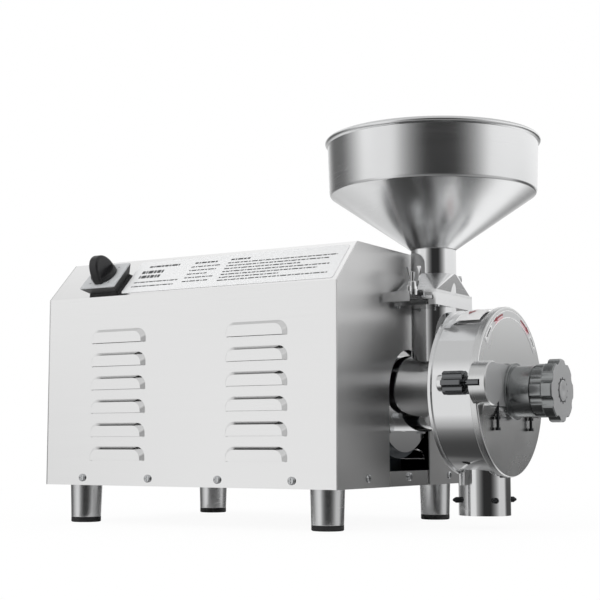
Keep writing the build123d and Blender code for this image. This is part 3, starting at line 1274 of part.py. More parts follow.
def feed_windows(x0, x1):
    """Cutters for the four windows that the grain passes."""
    sector = ring_sector(SPIDER_R, x0, x1 - x0, (-WINDOW_HALF, WINDOW_HALF))
    turns = [Rot(360.0 * index / WINDOW_COUNT, 0, 0) for index in range(WINDOW_COUNT)]
    return [Pos(0, 0, SHAFT_Z) * turn * Pos(0, 0, -SHAFT_Z) * sector for turn in turns]


def rotating_disc():
    """The grinding disc on the shaft."""
    disc = disc_plate(DISC_X, 1)
    disc -= feed_windows(DISC_X - OVER, DISC_X + DISC_T + OVER)
    return disc - rod_x(SHAFT_END_R + SEAT_FIT, DISC_X - OVER, DISC_X + DISC_T + OVER)


def disc_nut():
    """The nut that holds the rotating disc."""
    nut = face_x(DISC_X + DISC_T).location * hex_prism(NUT_ACROSS, NUT_H - OVER)
    return nut - rod_x(SHAFT_END_R + SEAT_FIT, DISC_X, NUT_END + OVER)


NODES = (
    base_tray, casing_cover, end_panel_front, end_panel_rear, casing_screws,
    foot_tubes, foot_pads, foot_bolts,
    motor_cradle, motor_bolts, motor_housing, motor_rear_shield, motor_front_shield,
    motor_bearings, stator_core, stator_windings, fan_cowl,
    capacitors, capacitor_clamps, cable_gland, switch_base, switch_plate, cam_switch, switch_knob,
    feed_housing, feed_bolts, shaft_seal, inlet_tube, upper_flange, flange_screws, gate_plate,
    hopper_bowl, hopper_rim, hopper_neck, hopper_foot, wing_nut_near, wing_nut_far,
    grinding_chamber, chamber_lugs, hinge_pin, outlet_spout, outlet_pins,
    cover_disc, cover_gasket, clamp_arm, arm_bolts, adjuster_hub, lock_screw,
    adjusting_knob, adjusting_spindle, knob_screw, stationary_disc, stationary_carrier,
    motor_shaft, rotor_core, cooling_fan, feed_auger, rotating_carrier, rotating_disc, disc_nut,
)


def export_all():
    """Write every node, moved so that the origin is under the middle of the machine."""
    os.makedirs("parts", exist_ok=True)
    pieces = {make.__name__: group([make()]) for make in NODES}
    centre = group(pieces.values()).bounding_box().center()
    for name, piece in pieces.items():
        export_step(Pos(-centre.X, -centre.Y, 0) * piece, f"parts/{name}.step")
    print("origin in the working frame:", centre.X, centre.Y)


export_all()
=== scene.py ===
import json
from math import atan2, cos, pi, radians, sin, tau

import bmesh
import bpy
from bpy.props import FloatProperty, FloatVectorProperty, IntProperty, PointerProperty
from mathutils import Matrix, Vector


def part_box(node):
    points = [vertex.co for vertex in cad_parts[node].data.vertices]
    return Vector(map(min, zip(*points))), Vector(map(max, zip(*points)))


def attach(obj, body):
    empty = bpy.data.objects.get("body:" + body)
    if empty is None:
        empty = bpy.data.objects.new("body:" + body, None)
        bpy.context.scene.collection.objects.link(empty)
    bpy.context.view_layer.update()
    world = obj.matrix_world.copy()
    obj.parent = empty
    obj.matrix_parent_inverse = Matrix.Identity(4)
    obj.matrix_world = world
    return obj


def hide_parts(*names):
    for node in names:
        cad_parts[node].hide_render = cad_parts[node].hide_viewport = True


bl_info = {
    "name": "Grain Mill",
    "version": (1, 0, 0),
    "blender": (4, 5, 0),
    "location": "3D View > Sidebar > Grain Mill",
    "description": "Finishes a bench-top disc mill: sheet casing, hopper, grinding head and feet",
    "category": "Object",
}

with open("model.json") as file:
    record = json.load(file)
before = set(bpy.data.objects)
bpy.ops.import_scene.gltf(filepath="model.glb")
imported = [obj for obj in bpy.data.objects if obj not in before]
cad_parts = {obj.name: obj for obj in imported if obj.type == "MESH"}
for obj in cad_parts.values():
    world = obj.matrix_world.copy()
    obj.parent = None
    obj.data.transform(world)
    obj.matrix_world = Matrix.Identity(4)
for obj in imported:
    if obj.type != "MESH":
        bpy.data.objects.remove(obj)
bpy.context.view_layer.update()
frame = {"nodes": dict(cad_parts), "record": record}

MM = 0.001
SHAFT = Vector((
    0, sum(c.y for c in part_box("motor_shaft")) / 2, sum(c.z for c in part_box("motor_shaft")) / 2))
REAR_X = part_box("end_panel_rear")[0].x
FRONT_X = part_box("end_panel_front")[1].x
ROOF_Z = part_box("casing_cover")[1].z
EAVE_Z = ROOF_Z - 47 * MM
SHOULDER_IN = 46 * MM                  # how far a shoulder reaches in from the wall
SHOULDER = atan2(ROOF_Z - EAVE_Z, SHOULDER_IN)
COVER_FACE_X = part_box("cover_disc")[1].x
HOPPER_X = sum(c.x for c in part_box("hopper_neck")) / 2
KNOB_FACE_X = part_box("adjusting_knob")[1].x
WALL_NEAR = SHAFT.y - 167 * MM         # outer face of the near wall
MID_X = (REAR_X + FRONT_X) / 2
HALF_LENGTH = (FRONT_X - REAR_X) / 2
HALF_WIDTH = SHAFT.y - WALL_NEAR


# ------------------------------------------------------------------ settings
class MillFinishSettings(bpy.types.PropertyGroup):
    """Colours and polish of the mill's metals."""

    sheet_colour: FloatVectorProperty(
        name="Casing steel", description="Colour of the satin casing sheet",
        subtype="COLOR", size=3, min=0, max=1, default=(0.92, 0.92, 0.92))
    sheet_roughness: FloatProperty(
        name="Casing roughness", description="How soft the casing's reflections are",
        default=0.13, min=0, max=1, subtype="FACTOR")
    bright_colour: FloatVectorProperty(
        name="Polished steel", description="Colour of the polished tubes and the drum",
        subtype="COLOR", size=3, min=0, max=1, default=(0.82, 0.825, 0.83))
    bright_roughness: FloatProperty(
        name="Polish", description="Roughness of the polished tubes and the drum",
        default=0.07, min=0, max=1, subtype="FACTOR")
    hopper_colour: FloatVectorProperty(
        name="Hopper steel", description="Colour of the spun hopper",
        subtype="COLOR", size=3, min=0, max=1, default=(0.86, 0.865, 0.87))
    hopper_roughness: FloatProperty(
        name="Hopper roughness", description="How soft the hopper's reflections are",
        default=0.22, min=0, max=1, subtype="FACTOR")
    arrow_colour: FloatVectorProperty(
        name="Arrow red", description="Colour of the turning arrows",
        subtype="COLOR", size=3, min=0, max=1, default=(0.26, 0.008, 0.02))


class MillDetailSettings(bpy.types.PropertyGroup):
    """Sizes of the details that are added to the mill."""

    edge_round: FloatProperty(
        name="Edge rounding", description="Radius worn on the machined edges",
        default=0.0006, min=0, max=0.003, unit="LENGTH")
    sheet_round: FloatProperty(
        name="Sheet rounding", description="Radius worn on the casing's sheet edges",
        default=0.0004, min=0, max=0.003, unit="LENGTH")
    label_length: FloatProperty(
        name="Label length", description="Length of the plate on the shoulder",
        default=0.286, min=0.1, max=0.35, unit="LENGTH")
    label_width: FloatProperty(
        name="Label width", description="Width of the plate up the shoulder",
        default=0.057, min=0.02, max=0.06, unit="LENGTH")
    dial_ticks: IntProperty(
        name="Dial ticks", description="Number of marks round the knob's face",
        default=12, min=4, max=36)
    hopper_segments: IntProperty(
        name="Hopper segments", description="Number of faces round the hopper",
        default=192, min=32, max=256)


class MillStageSettings(bpy.types.PropertyGroup):
    """Camera and light."""

    lens: FloatProperty(
        name="Lens", description="Focal length of the camera",
        default=80.13, min=20, max=200, unit="CAMERA")
    camera_place: FloatVectorProperty(
        name="Camera place", description="Where the camera stands",
        subtype="TRANSLATION", size=3, default=(0.8108, -1.3738, 0.0914))
    camera_turn: FloatProperty(
        name="Camera turn", description="How far the camera is turned from looking along +Y",
        default=radians(31.44), subtype="ANGLE")
    camera_tilt: FloatProperty(
        name="Camera tilt", description="How far the camera looks up",
        default=radians(6.18), subtype="ANGLE")
    soft_boxes: FloatProperty(
        name="Soft boxes", description="Strength of the soft boxes", default=1.0, min=0, max=4)


# ------------------------------------------------------------------ materials
def new_material(name, colour, roughness, metallic=0.0):
    """A Principled material with its plain values on the shader's own sockets."""
    material = bpy.data.materials.new(name)
    material.use_nodes = True
    shader = material.node_tree.nodes["Principled BSDF"]
    shader.inputs["Base Color"].default_value = (*colour, 1)
    shader.inputs["Roughness"].default_value = roughness
    shader.inputs["Metallic"].default_value = metallic
    return material


def add_node(material, kind, **values):
    """A node with some of its inputs or settings filled in."""
    node = material.node_tree.nodes.new(kind)
    for key, value in values.items():
        if key in node.inputs:
            node.inputs[key].default_value = value
        else:
            setattr(node, key, value)
    return node


def link(material, source, target):
    material.node_tree.links.new(source, target)


def stretched_noise(material, stretch, scale, detail):
    """Noise on object coordinates, drawn out along the axes with a small stretch."""
    place = add_node(material, "ShaderNodeTexCoord")
    mapping = add_node(material, "ShaderNodeMapping")
    mapping.inputs["Scale"].default_value = stretch
    noise = add_node(material, "ShaderNodeTexNoise", Scale=scale, Detail=detail)
    link(material, place.outputs["Object"], mapping.inputs["Vector"])
    link(material, mapping.outputs["Vector"], noise.inputs["Vector"])
    return noise.outputs["Fac"]


def spread(material, source, low, high):
    """Maps a 0..1 value to a narrower range."""
    node = add_node(material, "ShaderNodeMapRange")
    node.inputs["From Min"].default_value = 0.3
    node.inputs["From Max"].default_value = 0.7
    node.inputs["To Min"].default_value = low
    node.inputs["To Max"].default_value = high
    link(material, source, node.inputs["Value"])
    return node.outputs["Result"]


def add_bump(material, source, distance, strength):
    """Raises the surface by the value of an output."""
    bump = add_node(material, "ShaderNodeBump", Distance=distance, Strength=strength)
    link(material, source, bump.inputs["Height"])
    shader = material.node_tree.nodes["Principled BSDF"]
    link(material, bump.outputs["Normal"], shader.inputs["Normal"])


def colour_mix(material, **settings):
    """A mix of two colours: the node, its two colour inputs and its colour output."""
    mix = add_node(material, "ShaderNodeMix", data_type="RGBA", **settings)
    first, second = [s for s in mix.inputs if s.type == "RGBA"]
    return mix, first, second, [s for s in mix.outputs if s.type == "RGBA"][0]


def tint(material, source, dark, light):
    """Base colour that drifts between two tones."""
    mix, first, second, result = colour_mix(material)
    first.default_value = (*dark, 1)
    second.default_value = (*light, 1)
    link(material, source, mix.inputs["Factor"])
    link(material, result, material.node_tree.nodes["Principled BSDF"].inputs["Base Color"])


def shade(material, source):
    """Multiplies the base colour by an output."""
    base = material.node_tree.nodes["Principled BSDF"].inputs["Base Color"]
    clean = base.links[0].from_socket
    mix, first, second, result = colour_mix(material, blend_type="MULTIPLY")
    mix.inputs["Factor"].default_value = 1.0
    link(material, clean, first)
    link(material, source, second)
    link(material, result, base)


def painted_crease_shade(material, reach, dark):
    """Painted shade in the folds and round the edges of pressed shapes: the colour darkens in tight
    corners, where shade falls.
    """
    nearby = add_node(
        material, "ShaderNodeAmbientOcclusion", samples=6, only_local=True, Distance=reach)
    ramp = add_node(material, "ShaderNodeValToRGB")
    ramp.color_ramp.elements[0].position = 0.35
    ramp.color_ramp.elements[0].color = (dark, dark, dark, 1)
    ramp.color_ramp.elements[1].position = 0.85
    link(material, nearby.outputs["AO"], ramp.inputs["Fac"])
    shade(material, ramp.outputs["Color"])


def painted_height_shade(material, low_z, high_z, low_tone):
    """Darkens the colour towards low_z: painted shade that makes the sheet darker towards its foot."""
    place = add_node(material, "ShaderNodeTexCoord")
    split = add_node(material, "ShaderNodeSeparateXYZ")
    link(material, place.outputs["Object"], split.inputs[0])
    climb = add_node(material, "ShaderNodeMapRange")
    climb.inputs["From Min"].default_value = low_z
    climb.inputs["From Max"].default_value = high_z
    climb.inputs["To Min"].default_value = low_tone
    link(material, split.outputs["Z"], climb.inputs["Value"])
    shade(material, climb.outputs["Result"])


def worked_metal(name, colour, roughness, lines, bump=0.00002, drift=0.35, brushed=0.0,
                 metallic=1.0):
    """Steel with fine lines along one direction, and faint handling marks in its gloss."""
    material = new_material(name, colour, roughness, metallic)
    shader = material.node_tree.nodes["Principled BSDF"]
    if brushed:
        shader.inputs["Anisotropic"].default_value = brushed
        across = add_node(material, "ShaderNodeTangent", direction_type="RADIAL", axis="Z")
        link(material, across.outputs["Tangent"], shader.inputs["Tangent"])
    grain = stretched_noise(material, lines, 1.0, detail=4.0)
    smudge = stretched_noise(material, (1, 1, 1), 9.0, detail=5.0)
    both = add_node(material, "ShaderNodeMath", operation="MULTIPLY")
    link(material, spread(material, grain, 1 - drift / 2, 1 + drift / 2), both.inputs[0])
    link(material, spread(material, smudge, roughness * 0.9, roughness * 1.15), both.inputs[1])
    link(material, both.outputs["Value"], shader.inputs["Roughness"])
    tint(material, grain, [c * 0.97 for c in colour], [min(1, c * 1.02) for c in colour])
    if bump:
        add_bump(material, grain, bump, 0.6)
    return material


def moulded(name, colour, roughness, grain=900.0, bump=0.00004):
    """Moulded plastic or rubber with a fine spark-eroded grain."""
    material = new_material(name, colour, roughness)
    noise = stretched_noise(material, (1, 1, 1), grain, detail=2.0)
    shader = material.node_tree.nodes["Principled BSDF"]
    gloss = spread(material, noise, roughness * 0.85, roughness * 1.15)
    link(material, gloss, shader.inputs["Roughness"])
    tint(material, noise, [c * 0.85 for c in colour], [min(1, c * 1.15 + 0.002) for c in colour])
    add_bump(material, noise, bump, 0.7)
    return material


def make_finishes():
    """Every finish of the mill, by the name of its material slot or use."""
    look = bpy.context.scene.mill_finish
    sheet, bright, hopper = list(look.sheet_colour), list(look.bright_colour), list(look.hopper_colour)
    polish = look.bright_roughness
    turned_x = (2600, 14, 14)
    turned_z = (14, 14, 2600)
    finishes = {
        "casing_steel": worked_metal("casing_sheet", sheet, look.sheet_roughness, (10, 900, 900)),
        "panel_steel": worked_metal(
            "brushed_panel", sheet, 0.36, (10, 1600, 12), 0.000004, 0.15, brushed=0.95),
        "polished_steel": worked_metal("polished_drum", bright, polish, turned_x, 0.000004),
        "polished_tube": worked_metal("polished_tube", bright, polish, turned_z, 0.000004),
        "hopper_steel": worked_metal("spun_hopper", hopper, look.hopper_roughness, turned_z, 0.00001),
        "foot_steel": worked_metal("foot_tube", (0.76, 0.765, 0.77), 0.25, (14, 14, 260), 0, 0.1),
        "satin_steel": worked_metal("satin_cover", (0.78, 0.785, 0.785), 0.24, turned_x, 0),
        "knob_steel": worked_metal("knob_steel", (0.34, 0.35, 0.352), 0.24, turned_x, 0.000008),
        "bolt_steel": worked_metal("bolt_steel", (0.62, 0.63, 0.64), 0.2, (500, 500, 500), 0.00001),
        "dark_bolt": worked_metal("dark_bolt", (0.05, 0.052, 0.055), 0.38, (500, 500, 500), 0.00001),
        "faced_steel": worked_metal(
            "faced_steel", (0.5, 0.505, 0.51), 0.45, turned_x, 0, 0.2, metallic=0.7),
        "star_steel": worked_metal("star_steel", (0.16, 0.165, 0.17), 0.12, turned_x, 0.000004),
        "machined_steel": worked_metal("machined_steel", (0.6, 0.6, 0.61), 0.26, turned_x, 0.00002),
        "cast_iron": worked_metal("cast_iron", (0.2, 0.2, 0.205), 0.5, (700, 700, 700), 0.00006),
        "motor_paint": moulded("motor_paint", (0.05, 0.06, 0.07), 0.45, 500, 0.00006),
        "copper": worked_metal("winding_copper", (0.6, 0.27, 0.12), 0.35, (900, 900, 900), 0.00005),
        "rubber": moulded("foot_rubber", (0.012, 0.012, 0.013), 0.62, 1200, 0.00006),
        "black_plastic": moulded("black_plastic", (0.012, 0.012, 0.013), 0.34, 1500, 0.00003),
        "grey_plastic": moulded("switch_plate", (0.5, 0.51, 0.52), 0.4, 1500, 0.00002),
        "capacitor_grey": moulded("capacitor_case", (0.2, 0.21, 0.22), 0.4, 900, 0.00003),
        "label_face": moulded("label_face", (0.74, 0.745, 0.75), 0.36, 700, 0.000004),
        "label_ink": moulded("label_ink", (0.05, 0.052, 0.055), 0.55, 2500, 0.00001),
        "label_grey": worked_metal("label_grey", (0.84, 0.845, 0.85), 0.34, turned_x, 0.000004),
        "arrow_pink": moulded("arrow_pink", (0.72, 0.42, 0.46), 0.4, 2500, 0.00001),
        "arrow_red": moulded("arrow_red", list(look.arrow_colour), 0.4, 2500, 0.00001),
        "label_white": moulded("label_white", (0.86, 0.86, 0.86), 0.35, 2500, 0.00001),
    }
    # painted shade: the casing's colour darkens in its creases and round its louvres
    painted_crease_shade(finishes["casing_steel"], reach=0.0022, dark=0.3)
    # painted shade: the end panels' colour darkens towards their feet
    painted_height_shade(finishes["panel_steel"], low_z=0.05, high_z=0.26, low_tone=0.58)
    return finishes


FINISH = {}


# ------------------------------------------------------------------ modelling helpers
def edit(obj):
    """Selects only obj and opens it in edit mode with everything selected."""
    bpy.ops.object.select_all(action="DESELECT")
    obj.select_set(True)
    bpy.context.view_layer.objects.active = obj
    bpy.ops.object.mode_set(mode="EDIT")
    bpy.ops.mesh.select_all(action="SELECT")


def close_edit(recalculate=True):
    """Joins doubled points, turns faces outwards and goes back to object mode."""
    bpy.ops.mesh.select_all(action="SELECT")
    bpy.ops.mesh.remove_doubles(threshold=0.000002)
    if recalculate:
        bpy.ops.mesh.normals_make_consistent(inside=False)
    bpy.ops.object.mode_set(mode="OBJECT")


def clear_selection():
    if bpy.context.object and bpy.context.object.mode != "OBJECT":
        bpy.ops.object.mode_set(mode="OBJECT")
    bpy.ops.object.select_all(action="DESELECT")


def settle(obj):
    """Moves the object's place into its mesh."""
    clear_selection()
    obj.select_set(True)
    bpy.context.view_layer.objects.active = obj
    bpy.ops.object.transform_apply(location=True, rotation=True, scale=True)


def round_edges(obj, width, segments=2, angle=30.0):
    """Bevels the sharp edges and smooths the rest."""
    clear_selection()
    obj.select_set(True)
    bpy.context.view_layer.objects.active = obj
    bevel = obj.modifiers.new("edges", "BEVEL")
    bevel.width = width
    bevel.segments = segments
    bevel.limit_method = "ANGLE"
    bevel.angle_limit = radians(angle)
    bevel.miter_outer = "MITER_ARC"
    bevel.harden_normals = False
    bpy.ops.object.modifier_apply(modifier=bevel.name)
    smooth(obj, angle + 5)


def smooth(obj, angle):
    """Smooth shading below the angle, with normals that keep the large faces flat."""
    clear_selection()
    obj.select_set(True)
    bpy.context.view_layer.objects.active = obj
    bpy.ops.object.shade_smooth_by_angle(angle=radians(angle))
    weighted = obj.modifiers.new("flat_faces", "WEIGHTED_NORMAL")
    weighted.mode = "FACE_AREA"
    weighted.weight = 100
    weighted.keep_sharp = True
    bpy.ops.object.modifier_apply(modifier=weighted.name)


def finish_piece(obj, name, finish, body, replaced=()):
    """Names a piece, gives it its finish and its body, and hides the nodes it stands for."""
    obj.name = name
    obj.data.name = name
    obj.data.materials.clear()
    obj.data.materials.append(FINISH[finish])
    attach(obj, body)
    if replaced:
        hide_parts(*replaced)
    return obj


def refined(node, finish, width, body="frame", segments=2, angle=30.0):
    """A merged copy of a CAD node with flat faces joined and edges rounded; it stands for the node."""
    source = frame["nodes"][node]
    obj = bpy.data.objects.new(node + "_finished", source.data.copy())
    bpy.context.scene.collection.objects.link(obj)
    edit(obj)
    bpy.ops.mesh.customdata_custom_splitnormals_clear()
    bpy.ops.mesh.remove_doubles(threshold=0.000002)
    bpy.ops.mesh.mark_sharp(clear=True)
    bpy.ops.mesh.dissolve_limited(angle_limit=radians(0.1))
    bpy.ops.object.mode_set(mode="OBJECT")
    round_edges(obj, width, segments, angle)
    return finish_piece(obj, node + "_finished", finish, body, (node,))


def node_slot(node):
    """The material slot that the record gives a node."""
    for part in frame["record"]["subparts"]:
        if part["node"] == node:
            return part["material_slot"]
    raise ValueError("no slot for " + node)


FACING = 0.97                          # how squarely a face looks along the shaft, as a cosine


def face_off(obj, finish):
    """Gives the flat faces that look along the shaft their own finish."""
    obj.data.materials.append(FINISH[finish])
    for face in obj.data.polygons:
        if face.normal.x > FACING:
            face.material_index = 1


def draw_back(obj, limit_x, distance):
    """Shortens the end of a shaft that lies below limit_x."""
    edit(obj)
    bpy.ops.mesh.select_all(action="DESELECT")
    bpy.ops.object.mode_set(mode="OBJECT")
    for vertex in obj.data.vertices:
        vertex.select = vertex.co.x < limit_x
    bpy.ops.object.mode_set(mode="EDIT")
    bpy.ops.transform.translate(value=(distance, 0, 0))
    bpy.ops.object.mode_set(mode="OBJECT")


def dress(finish, *nodes):
    """Gives CAD nodes a finish."""
    for node in nodes:
        obj = frame["nodes"][node]
        obj.data.materials.clear()
        obj.data.materials.append(FINISH[finish])


def spun(name, rings, centre, axis, segments):
    """A turned shape: a circle drawn out ring by ring, and its first and last rings joined.

    Each ring is a radius and a distance along the axis.
    """
    clear_selection()
    radius, along = rings[0]
    turn = (0, pi / 2, 0) if axis == "X" else (0, 0, 0)
    step = Vector((1, 0, 0)) if axis == "X" else Vector((0, 0, 1))
    start = Vector(centre) + step * along
    obj = open_circle(segments, radius, start, turn)
    for (old_r, old_a), (new_r, new_a) in zip(rings, rings[1:]):
        bpy.ops.mesh.extrude_edges_move(TRANSFORM_OT_translate={"value": step * (new_a - old_a)})
        grow = new_r / old_r
        size = (1, grow, grow) if axis == "X" else (grow, grow, 1)
        bpy.ops.transform.resize(value=size, center_override=Vector(centre) + step * new_a)
    mesh = bmesh.from_edit_mesh(obj.data)
    for edge in mesh.edges:
        edge.select = edge.is_boundary
    mesh.select_flush_mode()
    bmesh.update_edit_mesh(obj.data)
    bpy.ops.mesh.bridge_edge_loops()
    close_edit()
    obj.name = name
    return obj


def open_circle(segments, radius, centre, turn):
    """A new object that is one circle, left open in edit mode."""
    bpy.ops.mesh.primitive_circle_add(
        vertices=segments, radius=radius, location=centre, rotation=turn)
    obj = bpy.context.object
    settle(obj)
    edit(obj)
    return obj


def block(centre, size, turn):
    """Adds a block to the mesh being edited, or a new object in object mode."""
    bpy.ops.mesh.primitive_cube_add(size=1, location=centre, rotation=turn, scale=size)


def blocks(places, turn):
    """One object of many blocks with one turn, each given by its centre and its size."""
    clear_selection()
    block(*places[0], turn)
    obj = bpy.context.object
    settle(obj)
    edit(obj)
    for centre, size in places[1:]:
        block(centre, size, turn)
    close_edit(False)
    return obj


def keep_sector(centre, angles):
    """Cuts away what lies outside two angles round the shaft, which run from +Y towards +Z."""
    for angle, side in zip(angles, (-1, 1)):
        bpy.ops.mesh.select_all(action="SELECT")
        normal = Vector((0, -sin(angle), cos(angle))) * side
        bpy.ops.mesh.bisect(plane_co=centre, plane_no=normal, clear_outer=True)
    bpy.ops.mesh.select_all(action="SELECT")


def ring_sector(name, x0, thickness, radii, angles):
    """A flat sector of a ring round the shaft that faces +X."""
    low, high = radii
    clear_selection()
    start = Vector((x0, SHAFT.y, SHAFT.z))
    obj = open_circle(SECTOR_FACES, high, start, (0, pi / 2, 0))
    bpy.ops.mesh.extrude_edges_move()
    ratio = low / high
    bpy.ops.transform.resize(value=(1, ratio, ratio), center_override=start)
    keep_sector(start, angles)
    bpy.ops.mesh.extrude_region_move(TRANSFORM_OT_translate={"value": (thickness, 0, 0)})
    close_edit()
    obj.name = name
    return obj


def wrap_sector(name, radius, thickness, reach, angles):
    """A thin curved patch on a cylinder round the shaft."""
    clear_selection()
    start = Vector((reach[0], SHAFT.y, SHAFT.z))
    obj = open_circle(SECTOR_FACES, radius, start, (0, pi / 2, 0))
    bpy.ops.mesh.extrude_edges_move(TRANSFORM_OT_translate={"value": (reach[1] - reach[0], 0, 0)})
    keep_sector(start, angles)
    bpy.ops.mesh.extrude_region_move()
    grow = (radius + thickness) / radius
    bpy.ops.transform.resize(value=(1, grow, grow), center_override=start)
    close_edit()
    obj.name = name
    return obj


SECTOR_FACES = 360                     # faces round the full turn of a sector


def on_shoulder(along, up, out=0.0):
    """A point on the near shoulder: along the casing from its rear, up the slope, and out of it."""
    rise = Vector((0, cos(SHOULDER), sin(SHOULDER)))
    normal = Vector((0, -sin(SHOULDER), cos(SHOULDER)))
    return Vector((REAR_X + along, WALL_NEAR, EAVE_Z)) + rise * up + normal * out


# ------------------------------------------------------------------ operators
class MILL_OT_finishes(bpy.types.Operator):
    """Make the finishes and give them to every CAD node"""

    bl_idname = "mill.finishes"
    bl_label = "Finishes"

    def execute(self, context):
        FINISH.update(make_finishes())
        for node in frame["nodes"]:
            dress(node_slot(node), node)
        dress("polished_tube", "outlet_spout", "hopper_neck", "inlet_tube")
        dress("knob_steel", "adjuster_hub", "adjusting_knob", "lock_screw")
        dress("dark_bolt", "arm_bolts", "outlet_pins")
        return {"FINISHED"}


class MILL_OT_casing(bpy.types.Operator):
    """Round the folds and edges of the casing sheets and the tray"""

    bl_idname = "mill.casing"
    bl_label = "Casing"

    def execute(self, context):
        width = context.scene.mill_detail.sheet_round
        for node in ("casing_cover", "base_tray"):
            refined(node, "casing_steel", width)
        for node in ("end_panel_front", "end_panel_rear"):
            refined(node, "panel_steel", width)
        refined("foot_tubes", "foot_steel", width)
        refined("foot_pads", "rubber", width * 2)
        return {"FINISHED"}


class MILL_OT_plate(bpy.types.Operator):
    """Add the bare rating plate on the near shoulder with its printed rules"""

    bl_idname = "mill.plate"
    bl_label = "Shoulder plate"

    def execute(self, context):
        detail = context.scene.mill_detail
        length, width = detail.label_length, detail.label_width
        turn = (SHOULDER, 0, 0)
        clear_selection()
        middle = on_shoulder(PLATE_START + length / 2, PLATE_UP + width / 2, 0.0)
        bpy.ops.mesh.primitive_plane_add(size=1, location=middle, rotation=turn)
        plate = context.object
        plate.scale = (length, width, 1)
        settle(plate)
        edit(plate)
        bpy.ops.mesh.bevel(offset=0.003, offset_type="OFFSET", segments=5, affect="VERTICES")
        bpy.ops.mesh.select_all(action="SELECT")
        out = on_shoulder(0, 0, PLATE_T) - on_shoulder(0, 0, 0)
        bpy.ops.mesh.extrude_region_move(TRANSFORM_OT_translate={"value": out})
        close_edit()
        round_edges(plate, 0.00012, 2)
        finish_piece(plate, "shoulder_plate", "label_face", "frame")

        dashes = []
        for start, end, rows, first, pitch, tall in RULE_BLOCKS:
            for row in range(rows):
                along, word = start, row
                stop = end - (end - start) * RULE_ENDS[row % len(RULE_ENDS)]
                while along < stop:
                    reach = min(WORDS[word % len(WORDS)], stop - along)
                    centre = on_shoulder(
                        PLATE_START + along + reach / 2, first - row * pitch, PLATE_T + INK_T / 2)
                    dashes.append((centre, (reach, tall, INK_T)))
                    along += reach + WORD_GAP
                    word += 1
        rules = blocks(dashes, turn)
        finish_piece(rules, "shoulder_plate_rules", "label_ink", "frame")
        return {"FINISHED"}


PLATE_START = 0.107                    # from the casing's rear to the plate
PLATE_UP = 0.0035                      # from the eave up the slope to the plate
PLATE_T = 0.0004
INK_T = 0.00008
# Printed rules on the shoulder plate: start and end along it, rows, height of the first row, pitch,
# and how tall a dash is. Each row is a string of dashes of these lengths, with a ragged end.
RULE_BLOCKS = (
    (0.018, 0.062, 1, 0.0500, 0.004, 0.0030),
    (0.012, 0.044, 2, 0.0400, 0.0085, 0.0052),
    (0.010, 0.074, 2, 0.0215, 0.0075, 0.0018),
    (0.084, 0.116, 1, 0.0500, 0.004, 0.0026),
    (0.082, 0.122, 5, 0.0430, 0.0066, 0.0017),
    (0.134, 0.160, 1, 0.0510, 0.004, 0.0026),
    (0.132, 0.276, 7, 0.0450, 0.0052, 0.0017),
)
RULE_ENDS = (0.0, 0.06, 0.3, 0.02, 0.12, 0.45)
WORDS = (0.0046, 0.0021, 0.0068, 0.0034, 0.0052, 0.0027, 0.0081)
WORD_GAP = 0.0013


class MILL_OT_arrows(bpy.types.Operator):
    """Add the arc label with its turning arrows on the cover and the arrow label on the drum"""

    bl_idname = "mill.arrows"
    bl_label = "Arrow labels"

    def execute(self, context):
        face = COVER_FACE_X + LABEL_T
        ends = [radians(a) for a in COVER_LABEL]
        band = ring_sector("cover_label", COVER_FACE_X, LABEL_T, LABEL_RADII, ends)
        finish_piece(band, "cover_label", "label_grey", "door")
        low, high = LABEL_RADII
        for name, radii in (("inner", (low, 0.0821)), ("outer", (0.0886, high))):
            line = ring_sector("cover_label_line", face, PRINT_T, radii, ends)
            finish_piece(line, "cover_label_%s_line" % name, "label_white", "door")
        for side, (tail, head, tip, dash, glow) in COVER_ARROWS.items():
            turning = 1 if tip > tail else -1
            span = sorted((radians(tail), radians(head)))
            arrow = ring_sector("cover_arrow", face, ARROW_T, (0.0852, 0.0872), span)
            edit(arrow)
            middle = (face + ARROW_T / 2, ARROW_R)
            size = (0.0026, ARROW_R * radians(abs(tip - head)))
            arrow_head(middle, (1, 0, 0), radians(head), turning, size)
            close_edit()
            finish_piece(arrow, "cover_arrow_" + side, "arrow_red", "door")
            marks = (
                ("halo", "label_white", (0.0843, 0.0878), (dash[0] - 2, dash[1] + 2), 0.0),
                ("dash", "label_ink", (0.0852, 0.0869), dash, PRINT_T),
                ("glow", "arrow_pink", (0.0822, 0.0842), glow, 0.0),
            )
            for name, finish, radii, reach, lift in marks:
                mark = ring_sector(
                    "cover_mark", face + lift, PRINT_T, radii, [radians(a) for a in reach])
                finish_piece(mark, "cover_%s_%s" % (name, side), finish, "door")

        drum_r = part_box("grinding_chamber")[1].y - SHAFT.y
        reach, (first, last) = DRUM_LABEL
        ends = (radians(first), radians(last))
        sheet = wrap_sector("drum_label", drum_r, DRUM_LABEL_T, reach, ends)
        finish_piece(sheet, "drum_label", "label_white", "frame")
        label_r = drum_r + DRUM_LABEL_T
        reach, (first, last) = DRUM_ARROW
        ends = (radians(first), radians(last))
        arrow = wrap_sector("drum_arrow", label_r, ARROW_T, reach, ends)
        edit(arrow)
        arrow_head((0.2083, label_r + 1.5 * ARROW_T), None, ends[1], 1, (0.0042, 0.0125))
        close_edit()
        finish_piece(arrow, "drum_arrow", "arrow_red", "frame")
        return {"FINISHED"}


LABEL_RADII = (0.0812, 0.0894)         # inner and outer edge of the cover's label
LABEL_T = 0.00025                      # thickness of the cover's label
PRINT_T = 0.00006                      # thickness of what is printed on it
ARROW_T = 0.0001
ARROW_R = 0.0862                       # middle of the arrows on the cover
# Degrees round the cover, from the far side over the top: the label's ends, and for each arrow its
# tail, where its head starts, its tip, the dash beyond it and the pale glow inside it.
COVER_LABEL = (34, 143)
COVER_ARROWS = {
    "near": (104, 115, 122.5, (129, 139.5), (104, 120)),
    "far": (70, 58, 50.5, (38.5, 47), (53, 68)),
}
